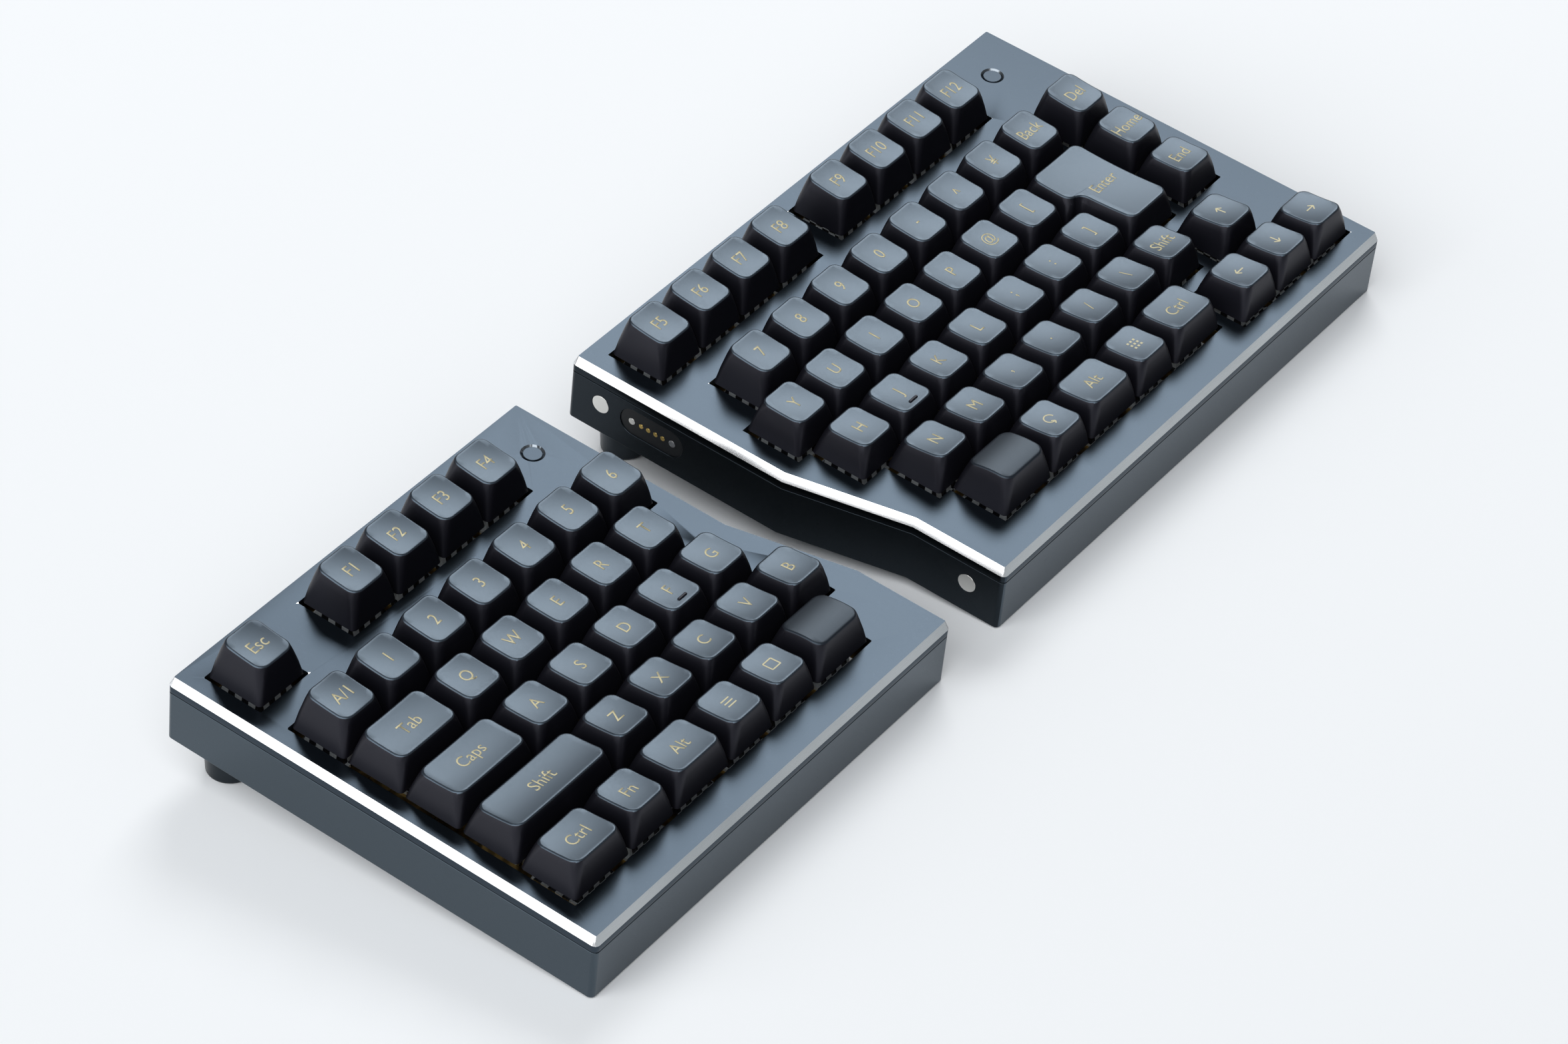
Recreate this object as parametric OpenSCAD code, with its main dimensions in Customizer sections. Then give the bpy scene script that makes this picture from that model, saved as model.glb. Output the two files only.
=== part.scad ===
// Split mechanical keyboard in two halves that stand apart and dock edge to edge.
// Each half is a bevelled metal top over a deep tray, a brass plate full of key switches,
// a circuit board and a cell, and its keys travel straight down into the top.
// The layout frame has its origin at the left end of the number row, level with the top
// face. The whole model is then tilted for typing and set down with its lowest point at 0.

/* [Key grid] */
// Distance between the centres of neighbouring keys
key_pitch = 19.05; // [18:0.05:20]
// Extra space between the function row and the number row
function_gap = 9.5; // [7.5:0.5:14]
// How far the arrow keys sit below the rows beside them
arrow_drop = 4.8; // [3:0.1:6]

/* [Keycaps] */
// Clear space between the skirts of neighbouring caps
cap_gap = 0.85; // [0.6:0.05:1.2]
// How much narrower the top of a cap is than its cell
cap_top_inset_x = 5.8; // [4.5:0.1:7]
// How much shorter the top of a cap is than its cell, front to back
cap_top_inset_y = 4.8; // [4:0.1:6.5]
// Corner radius of a cap at its top
cap_top_r = 2.6; // [1.5:0.1:3.5]
// Corner radius of a cap at its skirt
cap_skirt_r = 1.4; // [0.8:0.1:2.5]
// Wall of a cap
cap_wall = 1.5; // [1.1:0.1:1.8]
// Depth of the finger hollow across a cap
dish_depth = 0.7; // [0.4:0.05:1]
// Height of a thumb key's crown above its own edges
thumb_crown = 1; // [0.5:0.1:1.5]
// Length of the homing bar on a key that a forefinger rests on
homing_l = 3.6; // [2.5:0.1:5]
// Width of a homing bar
homing_w = 0.9; // [0.6:0.1:1.4]
// Height of a homing bar above the bottom of the finger hollow
homing_h = 0.45; // [0.3:0.05:0.6]
// Distance of a homing bar from the front edge of its cap's top
homing_inset = 2.4; // [1.5:0.1:4]
// Cap height at the middle of the function row
function_cap_h = 12; // [10.5:0.1:13]
// Cap height at the middle of the number row
number_cap_h = 12.1; // [10.5:0.1:13]
// Cap height at the middle of the upper letter row
upper_cap_h = 10.5; // [9.5:0.1:12]
// Cap height at the middle of the home row
home_cap_h = 9.7; // [9.2:0.1:11]
// Cap height at the middle of the lower letter row
lower_cap_h = 10.3; // [9.5:0.1:12]
// Cap height at the middle of the bottom row
bottom_cap_h = 10.2; // [9.5:0.1:12]
// Backward rise of the function caps' tops, in degrees
function_cap_tilt = 5.8; // [0:0.1:9]
// Backward rise of the number caps' tops, in degrees
number_cap_tilt = 4; // [0:0.1:8]
// Backward rise of the upper letter caps' tops, in degrees
upper_cap_tilt = 0.6; // [-2:0.1:4]
// Backward rise of the home caps' tops, in degrees
home_cap_tilt = -3.6; // [-6:0.1:0]
// Backward rise of the lower letter caps' tops, in degrees
lower_cap_tilt = -7.6; // [-9:0.1:-2]
// Backward rise of the bottom row caps' tops, in degrees
bottom_cap_tilt = -6.7; // [-9:0.1:-2]

/* [Switches] */
// Travel of a key
key_travel = 4; // [3:0.1:4.4]
// Depth of the switch plate's top face below the case top
plate_drop = 6.2; // [5.8:0.1:7]
// Thickness of the switch plate
plate_t = 1.5; // [1.2:0.1:2]
// Side of a switch's square hole in the plate
switch_hole = 14; // [13.8:0.05:14.2]
// Side of a switch's flange on the plate
switch_flange = 15.6; // [15:0.1:16]
// Side of a switch at its top
switch_top = 10.6; // [10:0.1:11]
// Height of a switch above the plate
switch_rise = 6.6; // [6:0.1:6.8]
// Depth of a switch below the plate's top face
switch_depth = 5; // [4.6:0.1:5.6]
// Width of a slider across the board
slider_w = 6.6; // [6:0.1:7]
// Depth of a slider, front to back
slider_d = 5.6; // [5:0.1:6]
// Diameter of the post under a cap
cap_post_d = 5.6; // [5:0.1:6.2]
// Length of the cross on a slider
cross_l = 4; // [3.8:0.05:4.2]
// Thickness of the cross on a slider
cross_t = 1.2; // [1:0.05:1.4]
// Distance from a long key's middle to its stabilisers
stabiliser_reach = 11.9; // [11.7:0.1:12.5]

/* [Case] */
// Thickness of each half between its top and bottom faces
case_h = 21.8; // [20:0.1:26]
// Typing tilt, in degrees
typing_tilt = 6; // [3:0.5:8]
// Case beside the outer key cells
side_margin = 6.4; // [6:0.1:9]
// Case behind the function row
rear_margin = 7.5; // [7:0.1:10]
// Case in front of the bottom row
front_margin = 11.9; // [11:0.1:14]
// Case between the left half's number row and its inner edge
left_inner_margin = 6.8; // [6:0.1:9]
// Case between the right half's upper letter row and its inner edge
right_inner_margin = 7.5; // [6.5:0.1:9]
// Sideways step of the split line between its rear and front runs
split_step = 9.5; // [7.5:0.5:11]
// Width of the polished bevel, seen from above
bevel_w = 1.2; // [0.6:0.1:1.8]
// Height of the polished bevel
bevel_h = 2.7; // [1:0.1:3.2]
// Height of the top case's rim down to the seam
rim_h = 4.9; // [4:0.1:5.4]
// Height of the shadow gap at the seam
seam_gap = 0.35; // [0.2:0.05:0.5]
// Thickness of the top case's deck
deck_t = 2.5; // [1.8:0.1:3]
// Wall of the tray beside the circuit board
tray_wall = 5; // [4.4:0.1:5.4]
// Wall of the tray beside the switch plate
tray_lip = 3.2; // [2.6:0.1:3.6]
// Floor of the tray
tray_floor = 2.5; // [2:0.1:3.5]
// Corner radius of the case, seen from above
case_corner_r = 1.6; // [1.3:0.1:3]
// Margin between a key cell and its opening in the top case
opening_margin = 0.3; // [0.1:0.05:0.5]
// Diameter of a status lens
lens_d = 5.5; // [4:0.1:6.5]
// Width and depth of the countersink round a status lens
lens_sink = 0.8; // [0.3:0.1:1]
// Width of the flange that holds a lens under the deck
lens_flange = 1; // [0.6:0.1:1.2]

/* [Split] */
// Gap between the two halves as they stand
rest_gap = 25.7; // [5:0.1:60]

/* [Feet] */
// Diameter of a rear foot
foot_d = 14.3; // [10:0.1:16]
// Distance of a rear foot's centre from the case side
foot_inset_x = 13.2; // [12:0.1:25]
// Distance of a rear foot's centre from the case rear
foot_inset_y = 10.3; // [10:0.1:20]
// Diameter of a front pad
pad_d = 9; // [6:0.1:12]
// Distance of a front pad's centre from the case front and side
pad_inset = 9; // [8:0.1:16]
// Height of the case's front edge above the desk
front_clear = 0.4; // [0.2:0.1:2]
// Rounding of a foot's lower edge
foot_edge_r = 1.2; // [0.5:0.1:2]

/* [Dock] */
// Diameter of a dock magnet
magnet_d = 5.8; // [4:0.1:7]
// Thickness of a dock magnet
magnet_t = 3; // [2:0.1:3.8]
// Place of the rear dock magnet behind the number row
magnet_rear_y = 34.5; // [32:0.5:38]
// Place of the front dock magnet in front of the number row
magnet_front_y = 86; // [80:0.5:90]
// Depth of the dock line below the case top
dock_drop = 11.7; // [11:0.1:13]
// Length of the dock connector
dock_l = 22; // [20:0.5:24]
// Height of the dock connector
dock_h = 8.9; // [7:0.1:9.6]
// Thickness of the dock connector's body
dock_t = 2; // [1.6:0.1:2.4]
// Place of the dock connector behind the number row
dock_y = 16.4; // [14:0.1:18]
// Spacing of the dock contacts
contact_pitch = 2.54; // [2:0.01:2.8]
// Diameter of a dock contact
contact_d = 1.5; // [1:0.1:1.8]
// Diameter of the two holding magnets in the connector
end_magnet_d = 2.2; // [1.6:0.1:3]
// Distance of those magnets from the connector's middle
end_magnet_reach = 7.1; // [6:0.1:7.6]

/* [Inside] */
// Thickness of a circuit board
board_t = 1.6; // [1.2:0.1:2]
// Clear space between a circuit board and the tray wall
board_gap = 0.4; // [0.2:0.05:0.8]
// Length of a cell
cell_l = 60; // [40:1:80]
// Width of a cell
cell_w = 36; // [25:1:50]
// Thickness of a cell
cell_t = 4; // [3:0.1:5]
// Diameter of a case screw's shank
screw_d = 3; // [2.5:0.1:3.2]
// Diameter of a case screw's head
screw_head_d = 5.6; // [5:0.1:6]
// Height of a case screw's head
screw_head_h = 1.8; // [1.4:0.1:2]
// Diameter of a screw boss
boss_d = 6.4; // [6:0.1:7]
// Width of the charging socket's shell
socket_w = 8.9; // [8.5:0.1:9.2]
// Height of the charging socket's shell
socket_h = 3.2; // [3:0.1:3.3]
// Length of the charging socket
socket_l = 8; // [7:0.1:9]
// Thickness of the charging socket's shell
socket_wall = 0.3; // [0.2:0.05:0.4]
// Thickness of the charging socket's closed end
socket_end = 1.6; // [1:0.1:2]
// Width of the tongue in the charging socket
tongue_w = 6.2; // [5.5:0.1:6.7]
// Thickness of that tongue
tongue_t = 0.7; // [0.6:0.05:0.8]
// Distance of the tongue's tip from the socket's mouth
tongue_inset = 0.8; // [0.5:0.1:1.5]

/* [Hidden] */
// Small clearance between pieces that are pushed together
push_gap = 0.05;
// Clearance of a piece that slides or drops into its place
slide_gap = 0.3;
// Least corner radius of an inset outline
least_r = 0.3;
// Extra length of a cut past the face it breaks through
cut = 1;
// Facets of a quarter turn on the case, on a cap and inside a cap
case_arc_n = 8;
cap_arc_n = 4;
hollow_arc_n = 1;
// Facets of a round post, of a wide shallow curve, and of every other circle
post_fn = 24;
shallow_fn = 180;
$fn = 48;

// Rows are numbered from 0 at the function row to 5 at the bottom row
row_h = [function_cap_h, number_cap_h, upper_cap_h, home_cap_h, lower_cap_h, bottom_cap_h];
row_tilt = [function_cap_tilt, number_cap_tilt, upper_cap_tilt, home_cap_tilt, lower_cap_tilt,
            bottom_cap_tilt];
function row_y(row) = row == 0 ? key_pitch + function_gap : (1 - row) * key_pitch;

// A key is its left edge and its width in key pitches, its row, and how far it is dropped
function key(left, width, row, drop = 0) = [left, width, row, drop];
function key_x(k) = (k[0] + k[1] / 2) * key_pitch;
function key_y(k) = row_y(k[2]) - k[3];
// A run of keys starts at an edge and takes its widths from left to right
function before(widths, i) = i == 0 ? 0 : widths[i - 1] + before(widths, i - 1);
function run(first, widths, row, drop = 0) =
    [for (i = [0:len(widths) - 1]) key(first + before(widths, i), widths[i], row, drop)];
function single(n) = [for (i = [1:n]) 1];
// Right edge of the last key of a run, where the next run starts
function after(keys) = keys[len(keys) - 1][0] + keys[len(keys) - 1][1];

// Widths of the wide keys, in key pitches
tab_w = 1.5;
caps_w = 1.75;
shift_w = 2.25;
wide_w = 1.25;
// Gaps in the rows, in key pitches: after escape, between the blocks of function keys, between
// the thumb keys, and beside the cursor keys
escape_gap = 1;
function_block_gap = 0.5;
thumb_gap = 0.75;
cursor_gap = 0.25;

// Letters, row by row, on each half
upper_left = run(tab_w, single(5), 2);
home_left = run(caps_w, single(5), 3);
lower_left = run(shift_w, single(5), 4);
upper_right = run(after(upper_left), single(5), 2);
home_right = run(after(home_left), single(4), 3);
lower_right = run(after(lower_left), single(2), 4);
// The other keys, in the banks that share a body
escape = run(0, single(1), 0);
function_left = concat(escape, run(after(escape) + escape_gap, single(4), 0));
numbers_left = run(0, single(7), 1);
bottom_left = run(0, [wide_w, 1, wide_w, 1, 1], 5);
modifiers_left = concat(run(0, [tab_w], 2), run(0, [caps_w], 3), run(0, [shift_w], 4),
                        bottom_left);
thumb_left = run(after(bottom_left), [wide_w], 5);
function_first = run(after(function_left) + function_block_gap, single(4), 0);
function_right = concat(function_first,
                        run(after(function_first) + function_block_gap, single(4), 0));
numbers_right = run(after(numbers_left), single(7), 1);
upper_marks = run(after(upper_right), single(2), 2);
home_marks = run(after(home_right), single(3), 3);
lower_marks = run(after(lower_right), single(4), 4);
punctuation = concat(upper_marks, home_marks, lower_marks);
thumb_right = run(after(thumb_left) + thumb_gap, [wide_w], 5);
bottom_right = run(after(thumb_right), [1, wide_w, 1, wide_w], 5);
modifiers_right = concat(run(after(numbers_right), single(1), 1),
                         run(after(lower_marks), single(1), 4), bottom_right);
cursor_first = after(modifiers_right) + cursor_gap;
arrow_row = run(cursor_first, single(3), 5, arrow_drop);
arrows = concat(run(after(arrow_row) - 2, single(1), 4, arrow_drop), arrow_row);
enter_right = after(numbers_right) + 1;
navigation = [for (row = [1:3]) key(enter_right + cursor_gap, 1, row)];
// The tall enter key spans two rows and is narrower in the lower one
enter_upper_w = enter_right - after(upper_marks);
enter_lower_w = enter_right - after(home_marks);
enter_place = [(enter_right - enter_lower_w / 2) * key_pitch, (row_y(2) + row_y(3)) / 2];
enter_h = (upper_cap_h + home_cap_h) / 2;
enter_tilt = atan((upper_cap_h - home_cap_h) / key_pitch);
left_shift = modifiers_left[2];
// Keys with a homing bar, under the two forefingers
homing_keys = [home_left[3], home_right[1]];
// Length of the cutter of a finger hollow, past the longest cap
dish_l = 3 * key_pitch;

left_keys = concat(upper_left, home_left, lower_left, function_left, numbers_left,
                   modifiers_left, thumb_left);
right_keys = concat(upper_right, home_right, lower_right, function_right, numbers_right,
                    punctuation, modifiers_right, thumb_right, navigation, arrows);
// Places of every switch, and of the stabilisers beside the long keys' switches
left_switch_places = [for (k = left_keys) [key_x(k), key_y(k)]];
right_switch_places = concat([for (k = right_keys) [key_x(k), key_y(k)]], [enter_place]);
shift_stabilisers = [for (s = [-1, 1]) [key_x(left_shift) + s * stabiliser_reach,
                                        key_y(left_shift)]];
enter_stabilisers = [for (s = [-1, 1]) enter_place + [0, s * stabiliser_reach]];

// Edges of the case in the layout frame
left_columns = after(numbers_left);
right_first = after(upper_left);
right_last = after(arrow_row);
case_front = row_y(5) - key_pitch / 2 - front_margin;
case_rear = row_y(0) + key_pitch / 2 + rear_margin;
left_rear_x = left_columns * key_pitch + left_inner_margin;
right_rear_x = right_first * key_pitch - right_inner_margin;
right_outer_x = right_last * key_pitch + side_margin;
split_rear_y = (row_y(2) + row_y(3)) / 2;
split_front_y = (row_y(4) + row_y(5)) / 2;
split_angle = atan(split_step / (split_rear_y - split_front_y));

// Heights in the layout frame, where 0 is the case top
plate_z = -plate_drop;
plate_under = plate_z - plate_t;
board_z = plate_z - switch_depth;
floor_z = -case_h + tray_floor;
tray_top = -rim_h - seam_gap;
slider_proud = 0.2;
slider_top = plate_z + switch_rise + slider_proud;
slider_reach = 5.2;
well_z = slider_top - slider_reach - key_travel - slide_gap;
post_z = slider_top + push_gap;
cross_h = 3.6;
flange_t = 1;

// A well takes its slider and, at the end of the travel, the foot of the cap's post
well_w = max(slider_w, cap_post_d) + 2 * slide_gap;
well_d = max(slider_d, cap_post_d) + 2 * slide_gap;
stabiliser_well = cap_post_d + 2 * slide_gap;
stabiliser_w = 2 * (stabiliser_reach - switch_flange / 2 - slide_gap);
stabiliser_d = 12;
stabiliser_rise = 3.6;

// Tilt, desk contact and the model's origin
lift = front_clear - case_front * sin(typing_tilt) + case_h * cos(typing_tilt);
right_shift_x = rest_gap + left_rear_x - right_rear_x;
model_mid_x = (right_outer_x + right_shift_x - side_margin) / 2;
model_rear = case_rear * cos(typing_tilt) + case_h * sin(typing_tilt);
model_front = case_front * cos(typing_tilt) + bevel_h * sin(typing_tilt);
model_mid_y = (model_rear + model_front) / 2;

// Screws, lenses, cells and the socket stand where the key layout leaves room
boss_bite = 0.6;
front_screw_y = case_front + tray_wall + boss_d / 2 - boss_bite;
left_screws = [[1.5 * key_pitch, row_y(0)], [6.25 * key_pitch, row_y(0)],
               [0.4 * key_pitch, front_screw_y], [7.3 * key_pitch, front_screw_y]];
right_screws = [[10.75 * key_pitch, row_y(0)], [15.4 * key_pitch, row_y(0)],
                [7.2 * key_pitch, front_screw_y], [12.8 * key_pitch, front_screw_y],
                [16 * key_pitch, row_y(4) - arrow_drop / 2]];
column_spread = 0.4;
column_d = boss_d + 2 * column_spread;
screw_cover = 1;
screw_tip = -deck_t - screw_cover;
right_lens_rise = 2;
left_lens = [6.64 * key_pitch, row_y(0)];
right_lens = [15.9 * key_pitch, row_y(0) + right_lens_rise];
left_cell = [3.7 * key_pitch, row_y(3)];
right_cell = [11.5 * key_pitch, row_y(3)];
socket_x = 5 * key_pitch;

cap_material = "#26272d";
case_material = "#5d6c7a";

// A row of letter keys is its letters, its keys and its half, 0 on the left and 1 on the right
LETTER_ROWS = [["qwert", upper_left, 0], ["asdfg", home_left, 0], ["zxcvb", lower_left, 0],
               ["yuiop", upper_right, 1], ["hjkl", home_right, 1], ["nm", lower_right, 1]];
// A key node is its name, its keys and its half
KEY_NODES = concat(
    [for (r = LETTER_ROWS) for (i = [0:len(r[0]) - 1])
        [str("key_", r[0][i]), [r[1][i]], r[2]]],
    [["keys_function_left", function_left, 0], ["keys_numbers_left", numbers_left, 0],
     ["keys_modifiers_left", modifiers_left, 0], ["key_thumb_left", thumb_left, 0],
     ["keys_function_right", function_right, 1], ["keys_numbers_right", numbers_right, 1],
     ["keys_punctuation", punctuation, 1], ["keys_modifiers_right", modifiers_right, 1],
     ["key_thumb_right", thumb_right, 1], ["keys_cursor", concat(navigation, arrows), 1]]);

// From the layout frame of one half to its place on the desk
module stand(side) {
    translate([side * right_shift_x - model_mid_x, -model_mid_y, lift])
        rotate([typing_tilt, 0, 0])
            children();
}

// Points of a rounded corner
function arc(centre, r, start, n) =
    [for (i = [0:n]) centre + r * [cos(start + 90 * i / n), sin(start + 90 * i / n)]];

// Outline of a half, drawn in by inset all round, counter-clockwise from a point that sees all
function half_outline(side, inset) =
    let (r = max(case_corner_r - inset, least_r), shift = inset * tan(split_angle / 2),
         y0 = case_front + inset + r, y1 = case_rear - inset - r)
    side == 0
    ? let (x0 = -side_margin + inset, x1 = left_rear_x - inset, x2 = x1 + split_step)
        concat(arc([x0 + r, y0], r, 180, case_arc_n), arc([x2 - r, y0], r, 270, case_arc_n),
               [[x2, split_front_y - shift], [x1, split_rear_y - shift]],
               arc([x1 - r, y1], r, 0, case_arc_n), arc([x0 + r, y1], r, 90, case_arc_n))
    : let (x0 = right_outer_x - inset, x1 = right_rear_x + inset, x2 = x1 + split_step)
        concat([[x2, split_front_y + shift]], arc([x2 + r, y0], r, 180, case_arc_n),
               arc([x0 - r, y0], r, 270, case_arc_n), arc([x0 - r, y1], r, 0, case_arc_n),
               arc([x1 + r, y1], r, 90, case_arc_n), [[x1, split_rear_y + shift]]);

// Upright slab of a half's outline between two heights
module half_slab(side, inset, low, high) {
    translate([0, 0, low])
        linear_extrude(high - low)
            polygon(half_outline(side, inset));
}

// Solid skin through a stack of rings, lowest first, that all have as many points. Both end
// faces start at the first point of their ring, which has to see all the others
module loft(rings) {
    n = len(rings[0]);
    top = (len(rings) - 1) * n;
    sides = [for (k = [0:n:top - n]) for (i = [0:n - 1]) let (j = (i + 1) % n)
        each [[k + i, k + n + i, k + n + j], [k + i, k + n + j, k + j]]];
    polyhedron([for (r = rings) each r],
               concat([[for (i = [0:n - 1]) i], [for (i = [0:n - 1]) top + (n - i) % n]], sides));
}

// Ring of points lifted to a height, and sloped from front to back
function lifted(points, z, slope = 0) =
    [for (p = points) [p[0], p[1] * cos(slope), z + p[1] * sin(slope)]];

// Rounded rectangle about the origin
function rounded_box(w, d, r, n) =
    let (x = w / 2 - r, y = d / 2 - r)
    concat(arc([-x, -y], r, 180, n), arc([x, -y], r, 270, n), arc([x, y], r, 0, n),
           arc([-x, y], r, 90, n));

// Outline of the tall enter key about its switch, drawn in by inset. It starts at the inner
// corner of its step, which sees every other point
function enter_outline(inset_x, inset_y, r, n) =
    let (right = enter_lower_w / 2 * key_pitch - inset_x,
         lower = -enter_lower_w / 2 * key_pitch + inset_x,
         upper = (enter_lower_w / 2 - enter_upper_w) * key_pitch + inset_x,
         top = key_pitch - inset_y, step = inset_y)
    concat([[lower, step]], arc([lower + r, -top + r], r, 180, n),
           arc([right - r, -top + r], r, 270, n), arc([right - r, top - r], r, 0, n),
           arc([upper + r, top - r], r, 90, n), arc([upper + r, step + r], r, 180, n));

// Finger hollow along a cap, cut from the plane of its top
module dish(chord, height, slope) {
    r = (chord * chord / 4 + dish_depth * dish_depth) / (2 * dish_depth);
    translate([0, 0, height])
        rotate([slope, 0, 0])
            translate([0, 0, r - dish_depth])
                rotate([90, 0, 0])
                    cylinder(r = r, h = dish_l, center = true, $fn = shallow_fn);
}

// Post under a cap with the socket for its slider's cross
module cap_post(ceiling) {
    difference() {
        translate([0, 0, post_z])
            cylinder(d = cap_post_d, h = ceiling + cap_wall / 2 - post_z, $fn = post_fn);
        cross(post_z - cut, cross_h + push_gap + cut, push_gap);
    }
}

// Upright cross on a slider, or its socket with a clearance
module cross(low, height, gap) {
    translate([0, 0, low + height / 2]) {
        cube([cross_l + 2 * gap, cross_t + 2 * gap, height], center = true);
        cube([cross_t + 2 * gap, cross_l + 2 * gap, height], center = true);
    }
}

// Slider that a cap is pushed on to, guided by the well of its switch or stabiliser
module slider(w, d) {
    translate([0, 0, slider_top - slider_reach / 2])
        cube([w, d, slider_reach], center = true);
    cross(slider_top - push_gap, cross_h + push_gap, 0);
}

// Sliders under a cap: a switch's at the middle and, on a long key, two stabilisers'
module sliders(posts) {
    for (p = posts)
        translate(p)
            if (p == [0, 0, 0])
                slider(slider_w, slider_d);
            else
                slider(cap_post_d, cap_post_d);
}

// Hollow cap about its switch, from a skirt outline to a smaller sloped top
module cap_shell(skirt, top, skirt_hollow, top_hollow, height, slope, ceiling, posts) {
    difference() {
        loft([lifted(skirt, 0), lifted(top, height, slope)]);
        loft([lifted(skirt_hollow, -push_gap), lifted(top_hollow, ceiling, slope)]);
    }
    for (p = posts)
        translate(p)
            cap_post(ceiling);
}

// Cap and slider of one key, at its place
module key_and_slider(k, crowned = false) {
    w = k[1] * key_pitch;
    height = row_h[k[2]];
    slope = row_tilt[k[2]];
    top_w = w - cap_top_inset_x;
    top_d = key_pitch - cap_top_inset_y;
    ceiling = height - cap_wall - (crowned ? 0 : dish_depth);
    posts = concat([[0, 0, 0]], k == left_shift
        ? [for (s = [-1, 1]) [s * stabiliser_reach, 0, 0]] : []);
    translate([key_x(k), key_y(k), 0]) {
        difference() {
            cap_shell(rounded_box(w - cap_gap, key_pitch - cap_gap, cap_skirt_r, cap_arc_n),
                      rounded_box(top_w, top_d, cap_top_r, cap_arc_n),
                      hollow_box(w - cap_gap, key_pitch - cap_gap),
                      hollow_box(top_w, top_d), height, slope, ceiling, posts);
            if (!crowned)
                dish(top_w - cap_wall / 2, height, slope);
        }
        if (crowned)
            crown(top_w, top_d, height, slope);
        if (len([for (h = homing_keys) if (h == k) h]) > 0)
            homing_bar(top_d, height, slope);
        sliders(posts);
    }
}

// Raised bar near the front of a cap, sunk into the bottom of its finger hollow
module homing_bar(top_d, height, slope) {
    bury = cap_wall / 2;
    translate([0, 0, height])
        rotate([slope, 0, 0])
            translate([-homing_l / 2, homing_inset - top_d / 2, -dish_depth - bury])
                cube([homing_l, homing_w, bury + homing_h]);
}

// Square-cornered outline inside a cap's wall
function hollow_box(w, d) =
    let (x = w / 2 - cap_wall, y = d / 2 - cap_wall) [[-x, -y], [x, -y], [x, y], [-x, y]];

// Rounded hump on a thumb key's top, highest along its middle
module crown(w, d, height, slope) {
    chord = d + cap_wall / 2;
    r = (chord * chord / 4 + thumb_crown * thumb_crown) / (2 * thumb_crown);
    translate([0, 0, height])
        rotate([slope, 0, 0])
            intersection() {
                translate([0, 0, -thumb_crown / 2])
                    linear_extrude(2 * thumb_crown)
                        polygon(rounded_box(w - 2 * push_gap, d - 2 * push_gap, cap_top_r,
                                            cap_arc_n));
                translate([0, 0, thumb_crown - r])
                    rotate([0, 90, 0])
                        cylinder(r = r, h = w + cut, center = true, $fn = shallow_fn);
            }
}

// Keys of one node on their half
module key_bank(keys, side, crowned) {
    color(cap_material)
        stand(side)
            for (k = keys)
                key_and_slider(k, crowned);
}

// Tall enter key with its slider and its two stabiliser posts
module key_enter() {
    top_inset_x = cap_top_inset_x / 2;
    top_inset_y = cap_top_inset_y / 2;
    skirt_inset = cap_gap / 2;
    ceiling = enter_h - cap_wall - dish_depth;
    posts = [for (s = [-1, 0, 1]) [0, s * stabiliser_reach, 0]];
    color(cap_material)
        stand(1)
            translate(enter_place) {
                difference() {
                    cap_shell(enter_outline(skirt_inset, skirt_inset, cap_skirt_r, cap_arc_n),
                              enter_outline(top_inset_x, top_inset_y, cap_top_r, cap_arc_n),
                              enter_outline(skirt_inset + cap_wall, skirt_inset + cap_wall,
                                            least_r, hollow_arc_n),
                              enter_outline(top_inset_x + cap_wall, top_inset_y + cap_wall,
                                            least_r, hollow_arc_n),
                              enter_h, enter_tilt, ceiling, posts);
                    translate([(enter_lower_w - enter_upper_w) / 2 * key_pitch, 0, 0])
                        dish(enter_upper_w * key_pitch - cap_top_inset_x - cap_wall / 2,
                             enter_h, enter_tilt);
                }
                sliders(posts);
            }
}

// Flat cell of a key, for the openings of the top case
module cell_of(k) {
    translate([key_x(k), key_y(k)])
        square([k[1] * key_pitch, key_pitch] + 2 * opening_margin * [1, 1], center = true);
}

// Openings of the keys in the top case
module key_openings(side) {
    for (k = side == 0 ? left_keys : right_keys)
        cell_of(k);
    if (side == 1)
        translate(enter_place) {
            m = -opening_margin;
            polygon(enter_outline(m, m, least_r, hollow_arc_n));
        }
}

// Top case: bevelled rim, deck with the key openings, screw bosses and an inner lip
module top_case(side, screws, lens) {
    difference() {
        union() {
            loft([lifted(half_outline(side, 0), -rim_h),
                  lifted(half_outline(side, 0), -bevel_h),
                  lifted(half_outline(side, bevel_w), 0)]);
            half_slab(side, tray_lip + slide_gap, plate_z, -deck_t / 2);
        }
        difference() {
            half_slab(side, tray_wall, plate_z - cut, -deck_t);
            for (s = screws)
                translate([s[0], s[1], plate_z])
                    cylinder(d = boss_d, h = plate_drop);
        }
        translate([0, 0, -deck_t - cut])
            linear_extrude(deck_t + 2 * cut)
                key_openings(side);
        for (s = screws)
            translate([s[0], s[1], plate_z - cut])
                cylinder(d = screw_d + 2 * push_gap, h = screw_tip - plate_z + cut + slide_gap);
        translate([lens[0], lens[1], 0]) {
            translate([0, 0, -deck_t - cut])
                cylinder(d = lens_d + 2 * push_gap, h = deck_t + 2 * cut);
            translate([0, 0, -lens_sink])
                cylinder(d1 = lens_d, d2 = lens_d + 2 * (lens_sink + cut), h = lens_sink + cut);
        }
    }
}

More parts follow.
